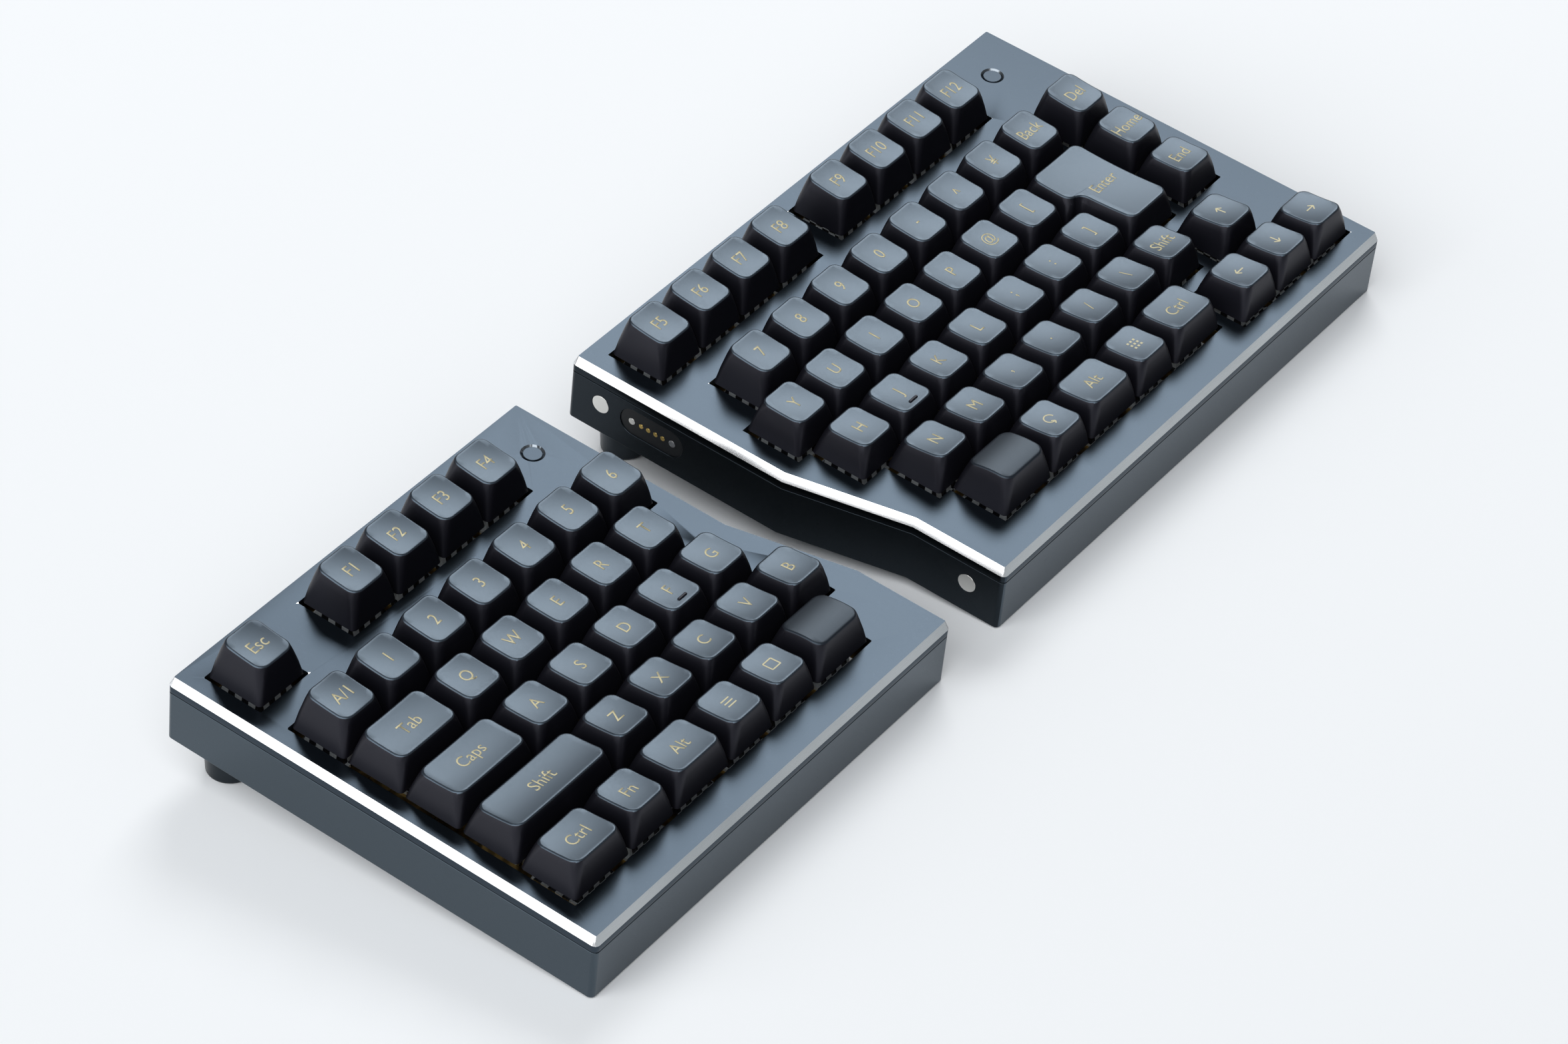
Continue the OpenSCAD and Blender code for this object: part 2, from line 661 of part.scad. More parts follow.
// Tray: walls with a ledge for the plate, screw columns, and pockets for the dock
module bottom_case(side, screws) {
    difference() {
        half_slab(side, 0, -case_h, tray_top);
        difference() {
            half_slab(side, tray_wall, floor_z, plate_under + cut);
            for (s = screws)
                translate([s[0], s[1], floor_z - cut])
                    cylinder(d = column_d, h = plate_under - floor_z + cut);
        }
        half_slab(side, tray_lip, plate_under, tray_top + cut);
        for (s = screws)
            translate([s[0], s[1], -case_h - cut]) {
                cylinder(d = screw_d + slide_gap, h = case_h);
                cylinder(d = screw_head_d + slide_gap, h = screw_head_h + cut + slide_gap);
            }
        dock_face(side) {
            for (m = magnet_spots(side))
                translate([m[0], m[1], m[2] - cut])
                    cylinder(d = magnet_d + 2 * push_gap, h = magnet_t + push_gap + cut);
            translate([dock_y, -dock_drop, -cut])
                linear_extrude(dock_t + slide_gap + cut)
                    pill(dock_l + 2 * push_gap, dock_h + 2 * push_gap);
        }
        if (side == 0)
            translate([socket_x, case_rear + cut, board_z + socket_h / 2])
                rotate([90, 0, 0])
                    linear_extrude(tray_wall + 2 * cut)
                        pill(socket_w + slide_gap, socket_h + slide_gap);
    }
}

// Places of the dock magnets on the inner face: along the face, height, and face offset
function magnet_spots(side) =
    [[magnet_rear_y, -dock_drop, 0],
     [-magnet_front_y, -dock_drop, side == 0 ? -split_step : split_step]];

// Frame on a half's inner face: x runs along the face, y up, and z into the case
module dock_face(side) {
    translate([side == 0 ? left_rear_x : right_rear_x, 0, 0])
        mirror([1 - side, 0, 0])
            rotate([90, 0, 90])
                children();
}

// Flat shape with two straight sides and two round ends
module pill(l, h) {
    square([l - h, h], center = true);
    for (s = [-1, 1])
        translate([s * (l - h) / 2, 0])
            circle(d = h);
}

// Plate that the switches clip into, resting on the tray's ledge
module switch_plate(side, places, stabilisers, turn, screws) {
    difference() {
        half_slab(side, tray_lip + slide_gap, plate_under, plate_z);
        translate([0, 0, plate_under - cut])
            linear_extrude(plate_t + 2 * cut) {
                for (p = places)
                    translate(p)
                        square(switch_hole, center = true);
                for (p = stabilisers)
                    translate(p)
                        rotate(turn)
                            square([stabiliser_w, stabiliser_d] + 2 * push_gap * [1, 1],
                                   center = true);
                for (s = screws)
                    translate(s)
                        circle(d = screw_d + slide_gap);
            }
    }
}

// Board under the switches, cleared round the screw columns
module circuit_board(side, screws) {
    difference() {
        half_slab(side, tray_wall + board_gap, board_z - board_t, board_z);
        for (s = screws)
            translate([s[0], s[1], board_z - board_t - cut])
                cylinder(d = column_d + 2 * slide_gap, h = board_t + 2 * cut);
    }
}

// Square ring of points about the origin
function square_ring(side) =
    let (h = side / 2) [[-h, -h], [h, -h], [h, h], [-h, h]];

// Upright block about the origin between two heights
module block(w, d, low, high) {
    translate([-w / 2, -d / 2, low])
        cube([w, d, high - low]);
}

// Key switch: lower body through the plate, flange, tapered upper body, and slider well
module key_switch() {
    body = switch_hole - 2 * push_gap;
    difference() {
        union() {
            block(body, body, board_z, plate_z + flange_t / 2);
            block(switch_flange, switch_flange, plate_z, plate_z + flange_t);
            loft([lifted(square_ring(body), plate_z + flange_t / 2),
                  lifted(square_ring(switch_top), plate_z + switch_rise)]);
        }
        block(well_w, well_d, well_z, plate_z + switch_rise + cut);
    }
}

// Guide beside a long key's switch that keeps its cap level
module stabiliser() {
    difference() {
        block(stabiliser_w, stabiliser_d, board_z, plate_z + stabiliser_rise);
        block(stabiliser_well, stabiliser_well, well_z, plate_z + stabiliser_rise + cut);
    }
}

// All switches of a half, with the stabilisers of its long key
module switches(places, stabilisers, turn) {
    for (p = places)
        translate(p)
            key_switch();
    for (p = stabilisers)
        translate(p)
            rotate(turn)
                stabiliser();
}

// Flat cell on the tray's floor
module battery(place) {
    translate([place[0], place[1], 0])
        block(cell_l, cell_w, floor_z, floor_z + cell_t);
}

// Round foot that stands upright on the desk, cut to the slope of the case bottom
module foot(side, place, d) {
    r = d / 2;
    top = place[1] * sin(typing_tilt) - case_h * cos(typing_tilt) + lift + d;
    difference() {
        translate([place[0] + side * right_shift_x - model_mid_x,
                   place[1] * cos(typing_tilt) + case_h * sin(typing_tilt) - model_mid_y, 0])
            rotate_extrude() {
                translate([0, foot_edge_r])
                    square([r, top - foot_edge_r]);
                square([r - foot_edge_r, top]);
                intersection() {
                    translate([r - foot_edge_r, foot_edge_r])
                        circle(foot_edge_r);
                    square([r, top]);
                }
            }
        stand(side)
            translate([place[0], place[1], 0])
                block(3 * d, 3 * d, -case_h, case_h);
    }
}

// Two tall feet at the rear of a half and two low pads at its front
module feet(side) {
    outer = side == 0 ? -side_margin : right_outer_x;
    inner = side == 0 ? left_rear_x : right_rear_x;
    inward = side == 0 ? 1 : -1;
    for (x = [outer + inward * foot_inset_x, inner - inward * foot_inset_x])
        foot(side, [x, case_rear - foot_inset_y], foot_d);
    for (x = [outer + inward * pad_inset, inner + split_step - inward * pad_inset])
        foot(side, [x, case_front + pad_inset], pad_d);
}

// Disc magnets that pull the halves together, flush with the inner face
module dock_magnets(side) {
    dock_face(side)
        for (m = magnet_spots(side))
            translate(m)
                cylinder(d = magnet_d, h = magnet_t);
}

// Dock connector: body with four contacts and two holding magnets in its face
module dock_connector(side) {
    contacts = [for (i = [0:3]) [(i - 1.5) * contact_pitch, contact_d]];
    ends = [for (s = [-1, 1]) [s * end_magnet_reach, end_magnet_d]];
    pin_depth = dock_t / 2;
    dock_face(side)
        translate([dock_y, -dock_drop, slide_gap]) {
            difference() {
                linear_extrude(dock_t)
                    pill(dock_l, dock_h);
                for (c = concat(contacts, ends))
                    translate([c[0], 0, -cut])
                        cylinder(d = c[1] + 2 * push_gap, h = pin_depth + push_gap + cut);
            }
            for (c = concat(contacts, ends))
                translate([c[0], 0, -push_gap])
                    cylinder(d = c[1], h = pin_depth + push_gap);
        }
}

// Status lens through the deck, held by a flange under it
module status_lens(place) {
    translate([place[0], place[1], -deck_t - lens_flange]) {
        cylinder(d = lens_d + 2 * lens_flange, h = lens_flange);
        cylinder(d = lens_d, h = deck_t + lens_flange - slide_gap / 2);
    }
}

// Case screws, up through the tray and the plate into the top case
module case_screws(screws) {
    head_z = -case_h + slide_gap;
    for (s = screws)
        translate([s[0], s[1], head_z])
            difference() {
                union() {
                    cylinder(d = screw_head_d, h = screw_head_h);
                    cylinder(d = screw_d, h = screw_tip - head_z);
                }
                translate([0, 0, -cut])
                    cylinder(d = screw_head_d / 2, h = screw_head_h / 2 + cut, $fn = 6);
            }
}

// Charging socket on the board, open through the rear wall
module charging_socket() {
    mouth_y = case_rear - slide_gap;
    bore_l = socket_l - socket_end;
    translate([socket_x, mouth_y, board_z + socket_h / 2])
        rotate([90, 0, 0]) {
            difference() {
                linear_extrude(socket_l)
                    pill(socket_w, socket_h);
                translate([0, 0, -cut])
                    linear_extrude(bore_l + cut)
                        pill(socket_w - 2 * socket_wall, socket_h - 2 * socket_wall);
            }
            translate([-tongue_w / 2, -tongue_t / 2, tongue_inset])
                cube([tongue_w, tongue_t, bore_l - tongue_inset + socket_end / 2]);
        }
}

module left_top_case() {
    color(case_material) stand(0) top_case(0, left_screws, left_lens);
}
module left_bottom_case() {
    color(case_material) stand(0) bottom_case(0, left_screws);
}
module left_switch_plate() {
    color("#b08d3f") stand(0)
        switch_plate(0, left_switch_places, shift_stabilisers, 0, left_screws);
}
module left_circuit_board() {
    color("#1d3b2a") stand(0) circuit_board(0, left_screws);
}
module left_switches() {
    color("#d8dcdc") stand(0) switches(left_switch_places, shift_stabilisers, 0);
}
module left_battery() {
    color("#9aa0a6") stand(0) battery(left_cell);
}
module left_feet() {
    color("#22272b") feet(0);
}
module left_dock_magnets() {
    color("#c4c4be") stand(0) dock_magnets(0);
}
module left_dock_connector() {
    color("#1b1f22") stand(0) dock_connector(0);
}
module left_status_lens() {
    color("#8fa0ad") stand(0) status_lens(left_lens);
}
module left_case_screws() {
    color("#3a3d40") stand(0) case_screws(left_screws);
}
module left_charging_socket() {
    color("#b9bcbf") stand(0) charging_socket();
}
module right_top_case() {
    color(case_material) stand(1) top_case(1, right_screws, right_lens);
}
module right_bottom_case() {
    color(case_material) stand(1) bottom_case(1, right_screws);
}
module right_switch_plate() {
    color("#b08d3f") stand(1)
        switch_plate(1, right_switch_places, enter_stabilisers, 90, right_screws);
}
module right_circuit_board() {
    color("#1d3b2a") stand(1) circuit_board(1, right_screws);
}
module right_switches() {
    color("#d8dcdc") stand(1) switches(right_switch_places, enter_stabilisers, 90);
}
module right_battery() {
    color("#9aa0a6") stand(1) battery(right_cell);
}
module right_feet() {
    color("#22272b") feet(1);
}
module right_dock_magnets() {
    color("#c4c4be") stand(1) dock_magnets(1);
}
module right_dock_connector() {
    color("#1b1f22") stand(1) dock_connector(1);
}
module right_status_lens() {
    color("#8fa0ad") stand(1) status_lens(right_lens);
}
module right_case_screws() {
    color("#3a3d40") stand(1) case_screws(right_screws);
}

left_top_case();
left_bottom_case();
left_switch_plate();
left_circuit_board();
left_switches();
left_battery();
left_feet();
left_dock_magnets();
left_dock_connector();
left_status_lens();
left_case_screws();
left_charging_socket();
right_top_case();
right_bottom_case();
right_switch_plate();
right_circuit_board();
right_switches();
right_battery();
right_feet();
right_dock_magnets();
right_dock_connector();
right_status_lens();
right_case_screws();
key_enter();
for (k = KEY_NODES)
    key_bank(k[1], k[2], k[1] == thumb_left || k[1] == thumb_right);
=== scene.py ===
# %% [markdown]
# A split keyboard, dressed in Blender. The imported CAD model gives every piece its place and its
# motion. This lesson adds what the eye expects: soft-edged keycaps with printed legends, anodised
# metal with a polished bevel, and the brass and clear plastic that glint between the keys.

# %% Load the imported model
import math

import bmesh
import bpy
from mathutils import Matrix, Vector


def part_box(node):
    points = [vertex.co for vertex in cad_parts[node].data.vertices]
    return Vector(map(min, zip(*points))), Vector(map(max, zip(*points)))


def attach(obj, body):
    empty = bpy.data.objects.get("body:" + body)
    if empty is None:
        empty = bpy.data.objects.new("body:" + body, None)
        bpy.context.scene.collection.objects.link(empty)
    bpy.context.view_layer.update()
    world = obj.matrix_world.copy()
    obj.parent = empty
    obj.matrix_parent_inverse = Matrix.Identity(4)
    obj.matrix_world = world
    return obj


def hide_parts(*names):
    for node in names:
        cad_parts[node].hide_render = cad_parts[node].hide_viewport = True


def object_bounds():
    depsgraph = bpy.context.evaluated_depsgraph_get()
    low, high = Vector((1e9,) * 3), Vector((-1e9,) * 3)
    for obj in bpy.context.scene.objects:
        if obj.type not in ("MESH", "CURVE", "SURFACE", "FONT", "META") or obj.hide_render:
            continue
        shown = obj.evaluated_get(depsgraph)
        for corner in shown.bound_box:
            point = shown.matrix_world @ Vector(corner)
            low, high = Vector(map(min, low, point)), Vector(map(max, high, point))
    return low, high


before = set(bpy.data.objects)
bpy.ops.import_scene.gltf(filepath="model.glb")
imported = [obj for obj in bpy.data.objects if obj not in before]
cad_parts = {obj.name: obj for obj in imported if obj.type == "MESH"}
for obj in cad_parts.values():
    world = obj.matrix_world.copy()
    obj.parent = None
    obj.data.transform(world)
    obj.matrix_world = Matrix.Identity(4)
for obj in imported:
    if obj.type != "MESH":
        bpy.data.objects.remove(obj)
cad_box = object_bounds()
scene = bpy.context.scene
scene.view_settings.view_transform = "Standard"
MM = 0.001

# %% [markdown]
# The camera stands in front and to the left, a good metre and a half away, and looks down with a
# long lens. A long lens keeps the far half nearly as large as the near one, as a product
# photograph does. The focal length is given in pixels of the photograph and turned into
# millimetres on Blender's sensor.

# %% Camera
PHOTO_W = 2356
FOCAL_PX = 8318.3
SENSOR_W = 36.0
CAMERA_SPOT = Vector((-0.97975, -0.71130, 0.98755))
CAMERA_AIM = Vector((-0.0035, 0.0049, 0.0))
CAMERA_ROLL = math.radians(0.16)


def turned_to(spot, aim):
    """Matrix of a camera or lamp at a spot that looks at an aim."""
    turn = (Vector(aim) - Vector(spot)).to_track_quat("-Z", "Y").to_matrix().to_4x4()
    return Matrix.Translation(spot) @ turn


camera_data = bpy.data.cameras.new("camera")
camera_data.sensor_width = SENSOR_W
camera_data.lens = SENSOR_W * FOCAL_PX / PHOTO_W
camera = bpy.data.objects.new("camera", camera_data)
camera.matrix_world = turned_to(CAMERA_SPOT, CAMERA_AIM) @ Matrix.Rotation(CAMERA_ROLL, 4, "Z")
scene.collection.objects.link(camera)
scene.camera = camera
print("lens", round(camera_data.lens, 1), "mm")

# %% [markdown]
# The stage is a wide pale floor, like paper that runs out to the horizon. It could curve up into a
# backdrop, but a flat sheet this large looks the same. Two helpers turn a bmesh into a mesh and
# into an object, and most pieces below are made with them.

# %% Floor
FLOOR_REACH = 30.0
FLOOR_COLOUR = (0.93, 0.945, 0.96, 1.0)
FLOOR_ROUGH = 0.9


def mesh_from(bm, name):
    """Turn a finished bmesh into a mesh."""
    mesh = bpy.data.meshes.new(name)
    bm.to_mesh(mesh)
    bm.free()
    return mesh


def piece_from(bm, name):
    """Turn a finished bmesh into an object at the origin."""
    piece = bpy.data.objects.new(name, mesh_from(bm, name))
    scene.collection.objects.link(piece)
    return piece


paper = bpy.data.materials.new("floor_paper")
paper.use_nodes = True
paper_shader = paper.node_tree.nodes["Principled BSDF"]
paper_shader.inputs["Base Color"].default_value = FLOOR_COLOUR
paper_shader.inputs["Roughness"].default_value = FLOOR_ROUGH
floor_bm = bmesh.new()
bmesh.ops.create_grid(floor_bm, x_segments=1, y_segments=1, size=FLOOR_REACH)
floor = piece_from(floor_bm, "floor")
floor.data.materials.append(paper)
print("floor reaches", FLOOR_REACH, "m each way")

# %% [markdown]
# A dim, even sky fills the shadows, and the camera sees it as a pale backdrop. One strength can't
# do both, so a Light Path node tells which rays come straight from the camera, and only those find
# the stronger sky.

# %% Sky
SKY_COLOUR = (0.90, 0.95, 1.0, 1.0)
SKY_STRENGTH = 0.14
BACKDROP_STRENGTH = 0.95

world = bpy.data.worlds.new("studio")
world.use_nodes = True
sky = world.node_tree.nodes["Background"]
sky.inputs["Color"].default_value = SKY_COLOUR
seen = world.node_tree.nodes.new("ShaderNodeLightPath")
shown = world.node_tree.nodes.new("ShaderNodeMath")
shown.operation = "MULTIPLY_ADD"
shown.inputs[1].default_value = BACKDROP_STRENGTH - SKY_STRENGTH
shown.inputs[2].default_value = SKY_STRENGTH
world.node_tree.links.new(seen.outputs["Is Camera Ray"], shown.inputs[0])
world.node_tree.links.new(shown.outputs[0], sky.inputs["Strength"])
scene.world = world
print("sky", SKY_STRENGTH, "seen as", BACKDROP_STRENGTH)

# %% [markdown]
# A broad sun from the left is the key light, as from a large window, and it keeps the floor evenly
# bright out to the horizon. A panel behind the object shows in the tops and in the deck, and a low
# one at the left in the polished bevel. The floor comes out almost white, and a colour renders
# about as it is written.

# %% Lamps
SUN_SPOT = (-1.0, -0.3, 1.1)
SUN_STRENGTH = 2.52
SUN_COLOUR = (0.97, 0.985, 1.0)
SUN_WIDTH = math.radians(70)


def panel(name, spot, aim, size, power):
    """A soft, white rectangular lamp at a spot, turned to an aim."""
    lamp = bpy.data.lights.new(name, "AREA")
    lamp.shape = "RECTANGLE"
    lamp.size, lamp.size_y = size
    lamp.energy = power
    holder = bpy.data.objects.new(name, lamp)
    holder.matrix_world = turned_to(spot, aim)
    scene.collection.objects.link(holder)


sun = bpy.data.lights.new("window", "SUN")
sun.energy = SUN_STRENGTH
sun.color = SUN_COLOUR
sun.angle = SUN_WIDTH
window = bpy.data.objects.new("window", sun)
window.matrix_world = turned_to(SUN_SPOT, (0, 0, 0))
scene.collection.objects.link(window)
panel("rear_panel", spot=(1.76, 0.86, 1.98), aim=(0, 0, 0), size=(1.35, 0.95), power=24)
panel("left_panel", spot=(-1.75, 0.92, 0.66), aim=(0, 0, 0.03), size=(1.5, 1.4), power=11)
print("sun", SUN_STRENGTH, "and two panels")

# %% [markdown]
# Keys stand on a grid that is tilted for typing. The layout frame has its origin at the left end
# of the number row, level with the case top, and two matrices set each half down on the desk.
# The sizes repeat the ones that the CAD model was drawn with, and the places of the halves are
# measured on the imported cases.

# %% The tilted layout
PITCH = 19.05 * MM
FUNCTION_GAP = 9.5 * MM
ARROW_DROP = 4.8 * MM
TILT = math.radians(6)
LEFT, RIGHT = 0, 1
SIDE = ("left", "right")
SIDE_MARGIN = 6.4 * MM
RIGHT_LAST = 16.5
CASE_FRONT = -97.625 * MM
CASE_H = 21.8 * MM
BEVEL_H = 2.7 * MM

case_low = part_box("left_bottom_case")[0]
left_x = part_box("left_top_case")[0][0] + SIDE_MARGIN
right_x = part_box("right_top_case")[1][0] - SIDE_MARGIN - RIGHT_LAST * PITCH
origin_y = cad_box[0][1] - CASE_FRONT * math.cos(TILT) - BEVEL_H * math.sin(TILT)
origin_z = case_low[2] - CASE_FRONT * math.sin(TILT) + CASE_H * math.cos(TILT)
SET_DOWN = [Matrix.Translation((x, origin_y, origin_z)) @ Matrix.Rotation(TILT, 4, "X")
            for x in (left_x, right_x)]
print("left half at", [round(c * 1000, 3) for c in SET_DOWN[LEFT].translation])
print("right half at", [round(c * 1000, 3) for c in SET_DOWN[RIGHT].translation])

# %% [markdown]
# The keys are written down as runs, the way that a typist reads them. A run starts at an edge,
# counted in key pitches, and each key in it has a width and a legend. Letters name their own CAD
# node, and the other keys share a node with their kind.

# %% Runs of keys
KEYS = []


def lay(half, row, left, legends, node="", widths=None, drop=0.0):
    """Add a run of keys. With no node given, each letter has its own."""
    for number, legend in enumerate(legends):
        width = widths[number] if widths else 1.0
        KEYS.append({"half": half, "row": row, "left": left, "width": width, "drop": drop,
                     "legend": legend, "node": node or "key_" + legend.lower()})
        left += width


lay(LEFT, 0, 0, ["Esc"], "keys_function_left")
lay(LEFT, 0, 2, ["F1", "F2", "F3", "F4"], "keys_function_left")
lay(LEFT, 1, 0, ["A/1", "1", "2", "3", "4", "5", "6"], "keys_numbers_left")
lay(LEFT, 2, 0, ["Tab"], "keys_modifiers_left", [1.5])
lay(LEFT, 3, 0, ["Caps"], "keys_modifiers_left", [1.75])
lay(LEFT, 4, 0, ["Shift"], "keys_modifiers_left", [2.25])
lay(LEFT, 5, 0, ["Ctrl", "Fn", "Alt", "bars", "square"], "keys_modifiers_left",
    [1.25, 1, 1.25, 1, 1])
lay(LEFT, 2, 1.5, "QWERT")
lay(LEFT, 3, 1.75, "ASDFG")
lay(LEFT, 4, 2.25, "ZXCVB")
lay(LEFT, 5, 5.5, [""], "key_thumb_left", [1.25])
lay(RIGHT, 0, 6.5, ["F5", "F6", "F7", "F8"], "keys_function_right")
lay(RIGHT, 0, 11, ["F9", "F10", "F11", "F12"], "keys_function_right")
lay(RIGHT, 1, 7, ["7", "8", "9", "0", "-", "^", "¥"], "keys_numbers_right")
lay(RIGHT, 1, 14, ["Back"], "keys_modifiers_right")
lay(RIGHT, 2, 6.5, "YUIOP")
lay(RIGHT, 2, 11.5, ["@", "["], "keys_punctuation")
lay(RIGHT, 3, 6.75, "HJKL")
lay(RIGHT, 3, 10.75, [";", ":", "]"], "keys_punctuation")
lay(RIGHT, 4, 7.25, "NM")
lay(RIGHT, 4, 9.25, [",", ".", "/", "\\"], "keys_punctuation")
lay(RIGHT, 4, 13.25, ["Shift"], "keys_modifiers_right")
lay(RIGHT, 5, 7.5, [""], "key_thumb_right", [1.25])
lay(RIGHT, 5, 8.75, ["turn", "Alt", "dots", "Ctrl"], "keys_modifiers_right", [1, 1.25, 1, 1.25])
lay(RIGHT, 1, 15.25, ["Del"], "keys_cursor")
lay(RIGHT, 2, 15.25, ["Home"], "keys_cursor")
lay(RIGHT, 3, 15.25, ["End"], "keys_cursor")
lay(RIGHT, 4, 14.5, ["up"], "keys_cursor", drop=ARROW_DROP)
lay(RIGHT, 5, 13.5, ["left", "down", "right"], "keys_cursor", drop=ARROW_DROP)


def row_y(row):
    """A row's distance behind the number row: 0 is the function row and 5 the bottom row."""
    return PITCH + FUNCTION_GAP if row == 0 else (1 - row) * PITCH


def key_spot(key):
    """Matrix from a key's own frame to the desk."""
    x = (key["left"] + key["width"] / 2) * PITCH
    return SET_DOWN[key["half"]] @ Matrix.Translation((x, row_y(key["row"]) - key["drop"], 0))


print("keys besides enter", len(KEYS))

# %% [markdown]
# Every real finish has a grain: bead blasting on the metal, the fine spark texture of a moulded
# cap, brush marks on the polished edge. One node group makes it for all of them from noise on
# Object coordinates, so that it stays fixed to the piece. It puts out a height for a Bump node, a
# roughness that wanders between two values, and a slow shade for the colour. A stretch below 1
# along one axis draws the grain out into brush marks.

# %% Node group: surface grain
SLOW_SCALE = 22.0


def grain_group():
    """Group of noise that any finish can borrow."""
    group = bpy.data.node_groups.new("surface_grain", "ShaderNodeTree")
    socket = group.interface.new_socket
    for name in ("Scale", "Low", "High"):
        socket(name, in_out="INPUT", socket_type="NodeSocketFloat")
    socket("Stretch", in_out="INPUT", socket_type="NodeSocketVector")
    for name in ("Height", "Roughness", "Shade"):
        socket(name, in_out="OUTPUT", socket_type="NodeSocketFloat")
    nodes = group.nodes
    given = nodes.new("NodeGroupInput")
    result = nodes.new("NodeGroupOutput")
    place = nodes.new("ShaderNodeTexCoord")
    drawn = nodes.new("ShaderNodeVectorMath")
    drawn.operation = "MULTIPLY"
    fine = nodes.new("ShaderNodeTexNoise")
    slow = nodes.new("ShaderNodeTexNoise")
    slow.inputs["Scale"].default_value = SLOW_SCALE
    spread = nodes.new("ShaderNodeMapRange")
    link = group.links.new
    link(place.outputs["Object"], drawn.inputs[0])
    link(given.outputs["Stretch"], drawn.inputs[1])
    link(drawn.outputs["Vector"], fine.inputs["Vector"])
    link(given.outputs["Scale"], fine.inputs["Scale"])
    link(place.outputs["Object"], slow.inputs["Vector"])
    link(fine.outputs["Fac"], spread.inputs["Value"])
    link(given.outputs["Low"], spread.inputs["To Min"])
    link(given.outputs["High"], spread.inputs["To Max"])
    link(fine.outputs["Fac"], result.inputs["Height"])
    link(spread.outputs["Result"], result.inputs["Roughness"])
    link(slow.outputs["Fac"], result.inputs["Shade"])
    return group


GRAIN = grain_group()
print("group", GRAIN.name)

# %% [markdown]
# A finish is one Principled shader. The slow shade mixes two close colours, the grain gives the
# roughness, and the grain's height goes through a Bump node. Each finish could be wired by hand,
# but one builder keeps them alike, and only the numbers differ.

# %% Finish builder
EVEN = (1.0, 1.0, 1.0)
GRAIN_DEPTH = 0.02 * MM


def finish(name, dark, light, rough, grain, bump, metal=0.0, stretch=EVEN, tint=EVEN, gloss=0.5,
           ior=1.5):
    """A finish: two close colours, a roughness range, a grain size per metre and its bump."""
    material = bpy.data.materials.new(name)
    material.use_nodes = True
    nodes = material.node_tree.nodes
    shader = nodes["Principled BSDF"]
    shader.inputs["Metallic"].default_value = metal
    shader.inputs["Specular Tint"].default_value = (*tint, 1.0)
    shader.inputs["Specular IOR Level"].default_value = gloss
    shader.inputs["IOR"].default_value = ior
    texture = nodes.new("ShaderNodeGroup")
    texture.node_tree = GRAIN
    for socket, value in zip(("Scale", "Low", "High", "Stretch"), (grain, *rough, stretch)):
        texture.inputs[socket].default_value = value
    colour = nodes.new("ShaderNodeMix")
    colour.data_type = "RGBA"
    colour.inputs["A"].default_value = (*dark, 1.0)
    colour.inputs["B"].default_value = (*light, 1.0)
    relief = nodes.new("ShaderNodeBump")
    relief.inputs["Strength"].default_value = bump
    relief.inputs["Distance"].default_value = GRAIN_DEPTH
    link = material.node_tree.links.new
    link(texture.outputs["Shade"], colour.inputs["Factor"])
    link(colour.outputs["Result"], shader.inputs["Base Color"])
    link(texture.outputs["Roughness"], shader.inputs["Roughness"])
    link(texture.outputs["Height"], relief.inputs["Height"])
    link(relief.outputs["Normal"], shader.inputs["Normal"])
    return material


print("grain depth", round(GRAIN_DEPTH / MM, 3), "mm")

# %% [markdown]
# The case is satin anodised aluminium: a metal whose own colour is slate, with a fine blasted
# grain. Its bevel is cut after anodising, so it is bare polished metal with fine marks along the
# cut. The bevels that run from front to back mirror a bright panel from end to end, as a slightly
# crowned face does. A modelled crown would take many narrow faces, so the shader tips the normals
# up instead. The bevels at the front and the back are painted a darker metal colour, as painted
# shade, and the faces where the halves meet are painted a darker slate, as painted shade too.

# %% Finishes of the cases
ALONG_X = (0.04, 1.0, 1.0)
ALONG_Y = (1.0, 0.04, 1.0)
BEVEL_TIP = 0.26


def tip_up(material, lean):
    """Tip a finish's normals up a little, as on a bevel that is slightly crowned."""
    nodes = material.node_tree.nodes
    surface = nodes.new("ShaderNodeNewGeometry")
    tipped = nodes.new("ShaderNodeVectorMath")
    tipped.inputs[1].default_value = (0.0, 0.0, lean)
    unit = nodes.new("ShaderNodeVectorMath")
    unit.operation = "NORMALIZE"
    link = material.node_tree.links.new
    link(surface.outputs["Normal"], tipped.inputs[0])
    link(tipped.outputs["Vector"], unit.inputs[0])
    link(unit.outputs["Vector"], nodes["Bump"].inputs["Normal"])


DECK = finish("anodised_deck", (0.042, 0.056, 0.072), (0.047, 0.062, 0.079),
              (0.26, 0.31), 2600, 0.03, metal=1.0)
TRAY = finish("anodised_tray", (0.068, 0.088, 0.106), (0.078, 0.098, 0.117),
              (0.25, 0.33), 2600, 0.10, metal=1.0)
# Painted shade: the front and back bevels get a darker copy of the polished bevel metal.
SHADED_BEVEL_X = finish("bevel_along_x_painted_shade", (0.30, 0.32, 0.33), (0.52, 0.54, 0.55),
                   (0.20, 0.36), 1800, 0.12, metal=1.0, stretch=ALONG_X)
# Bright polished bevel metal, also painted on the opening corners as a painted glint.
BRIGHT_BEVEL_AND_GLINT = finish("bevel_along_y_and_corner_glint", (0.90, 0.91, 0.92), (0.95, 0.955, 0.96),
                   (0.24, 0.27), 1800, 0.0, metal=1.0, stretch=ALONG_Y)
tip_up(BRIGHT_BEVEL_AND_GLINT, BEVEL_TIP)
# Painted shade: faces where the halves meet get a darker copy of the anodised colour.
DOCK_SHADE = finish("dock_face_painted_shade", (0.020, 0.026, 0.032), (0.026, 0.033, 0.040),
                   (0.25, 0.33), 2600, 0.10, metal=1.0)
SINK = finish("cut_sink", (0.24, 0.27, 0.30), (0.30, 0.33, 0.36), (0.22, 0.30), 1800, 0.02,
              metal=1.0)
print("bevels", SHADED_BEVEL_X.name, BRIGHT_BEVEL_AND_GLINT.name)
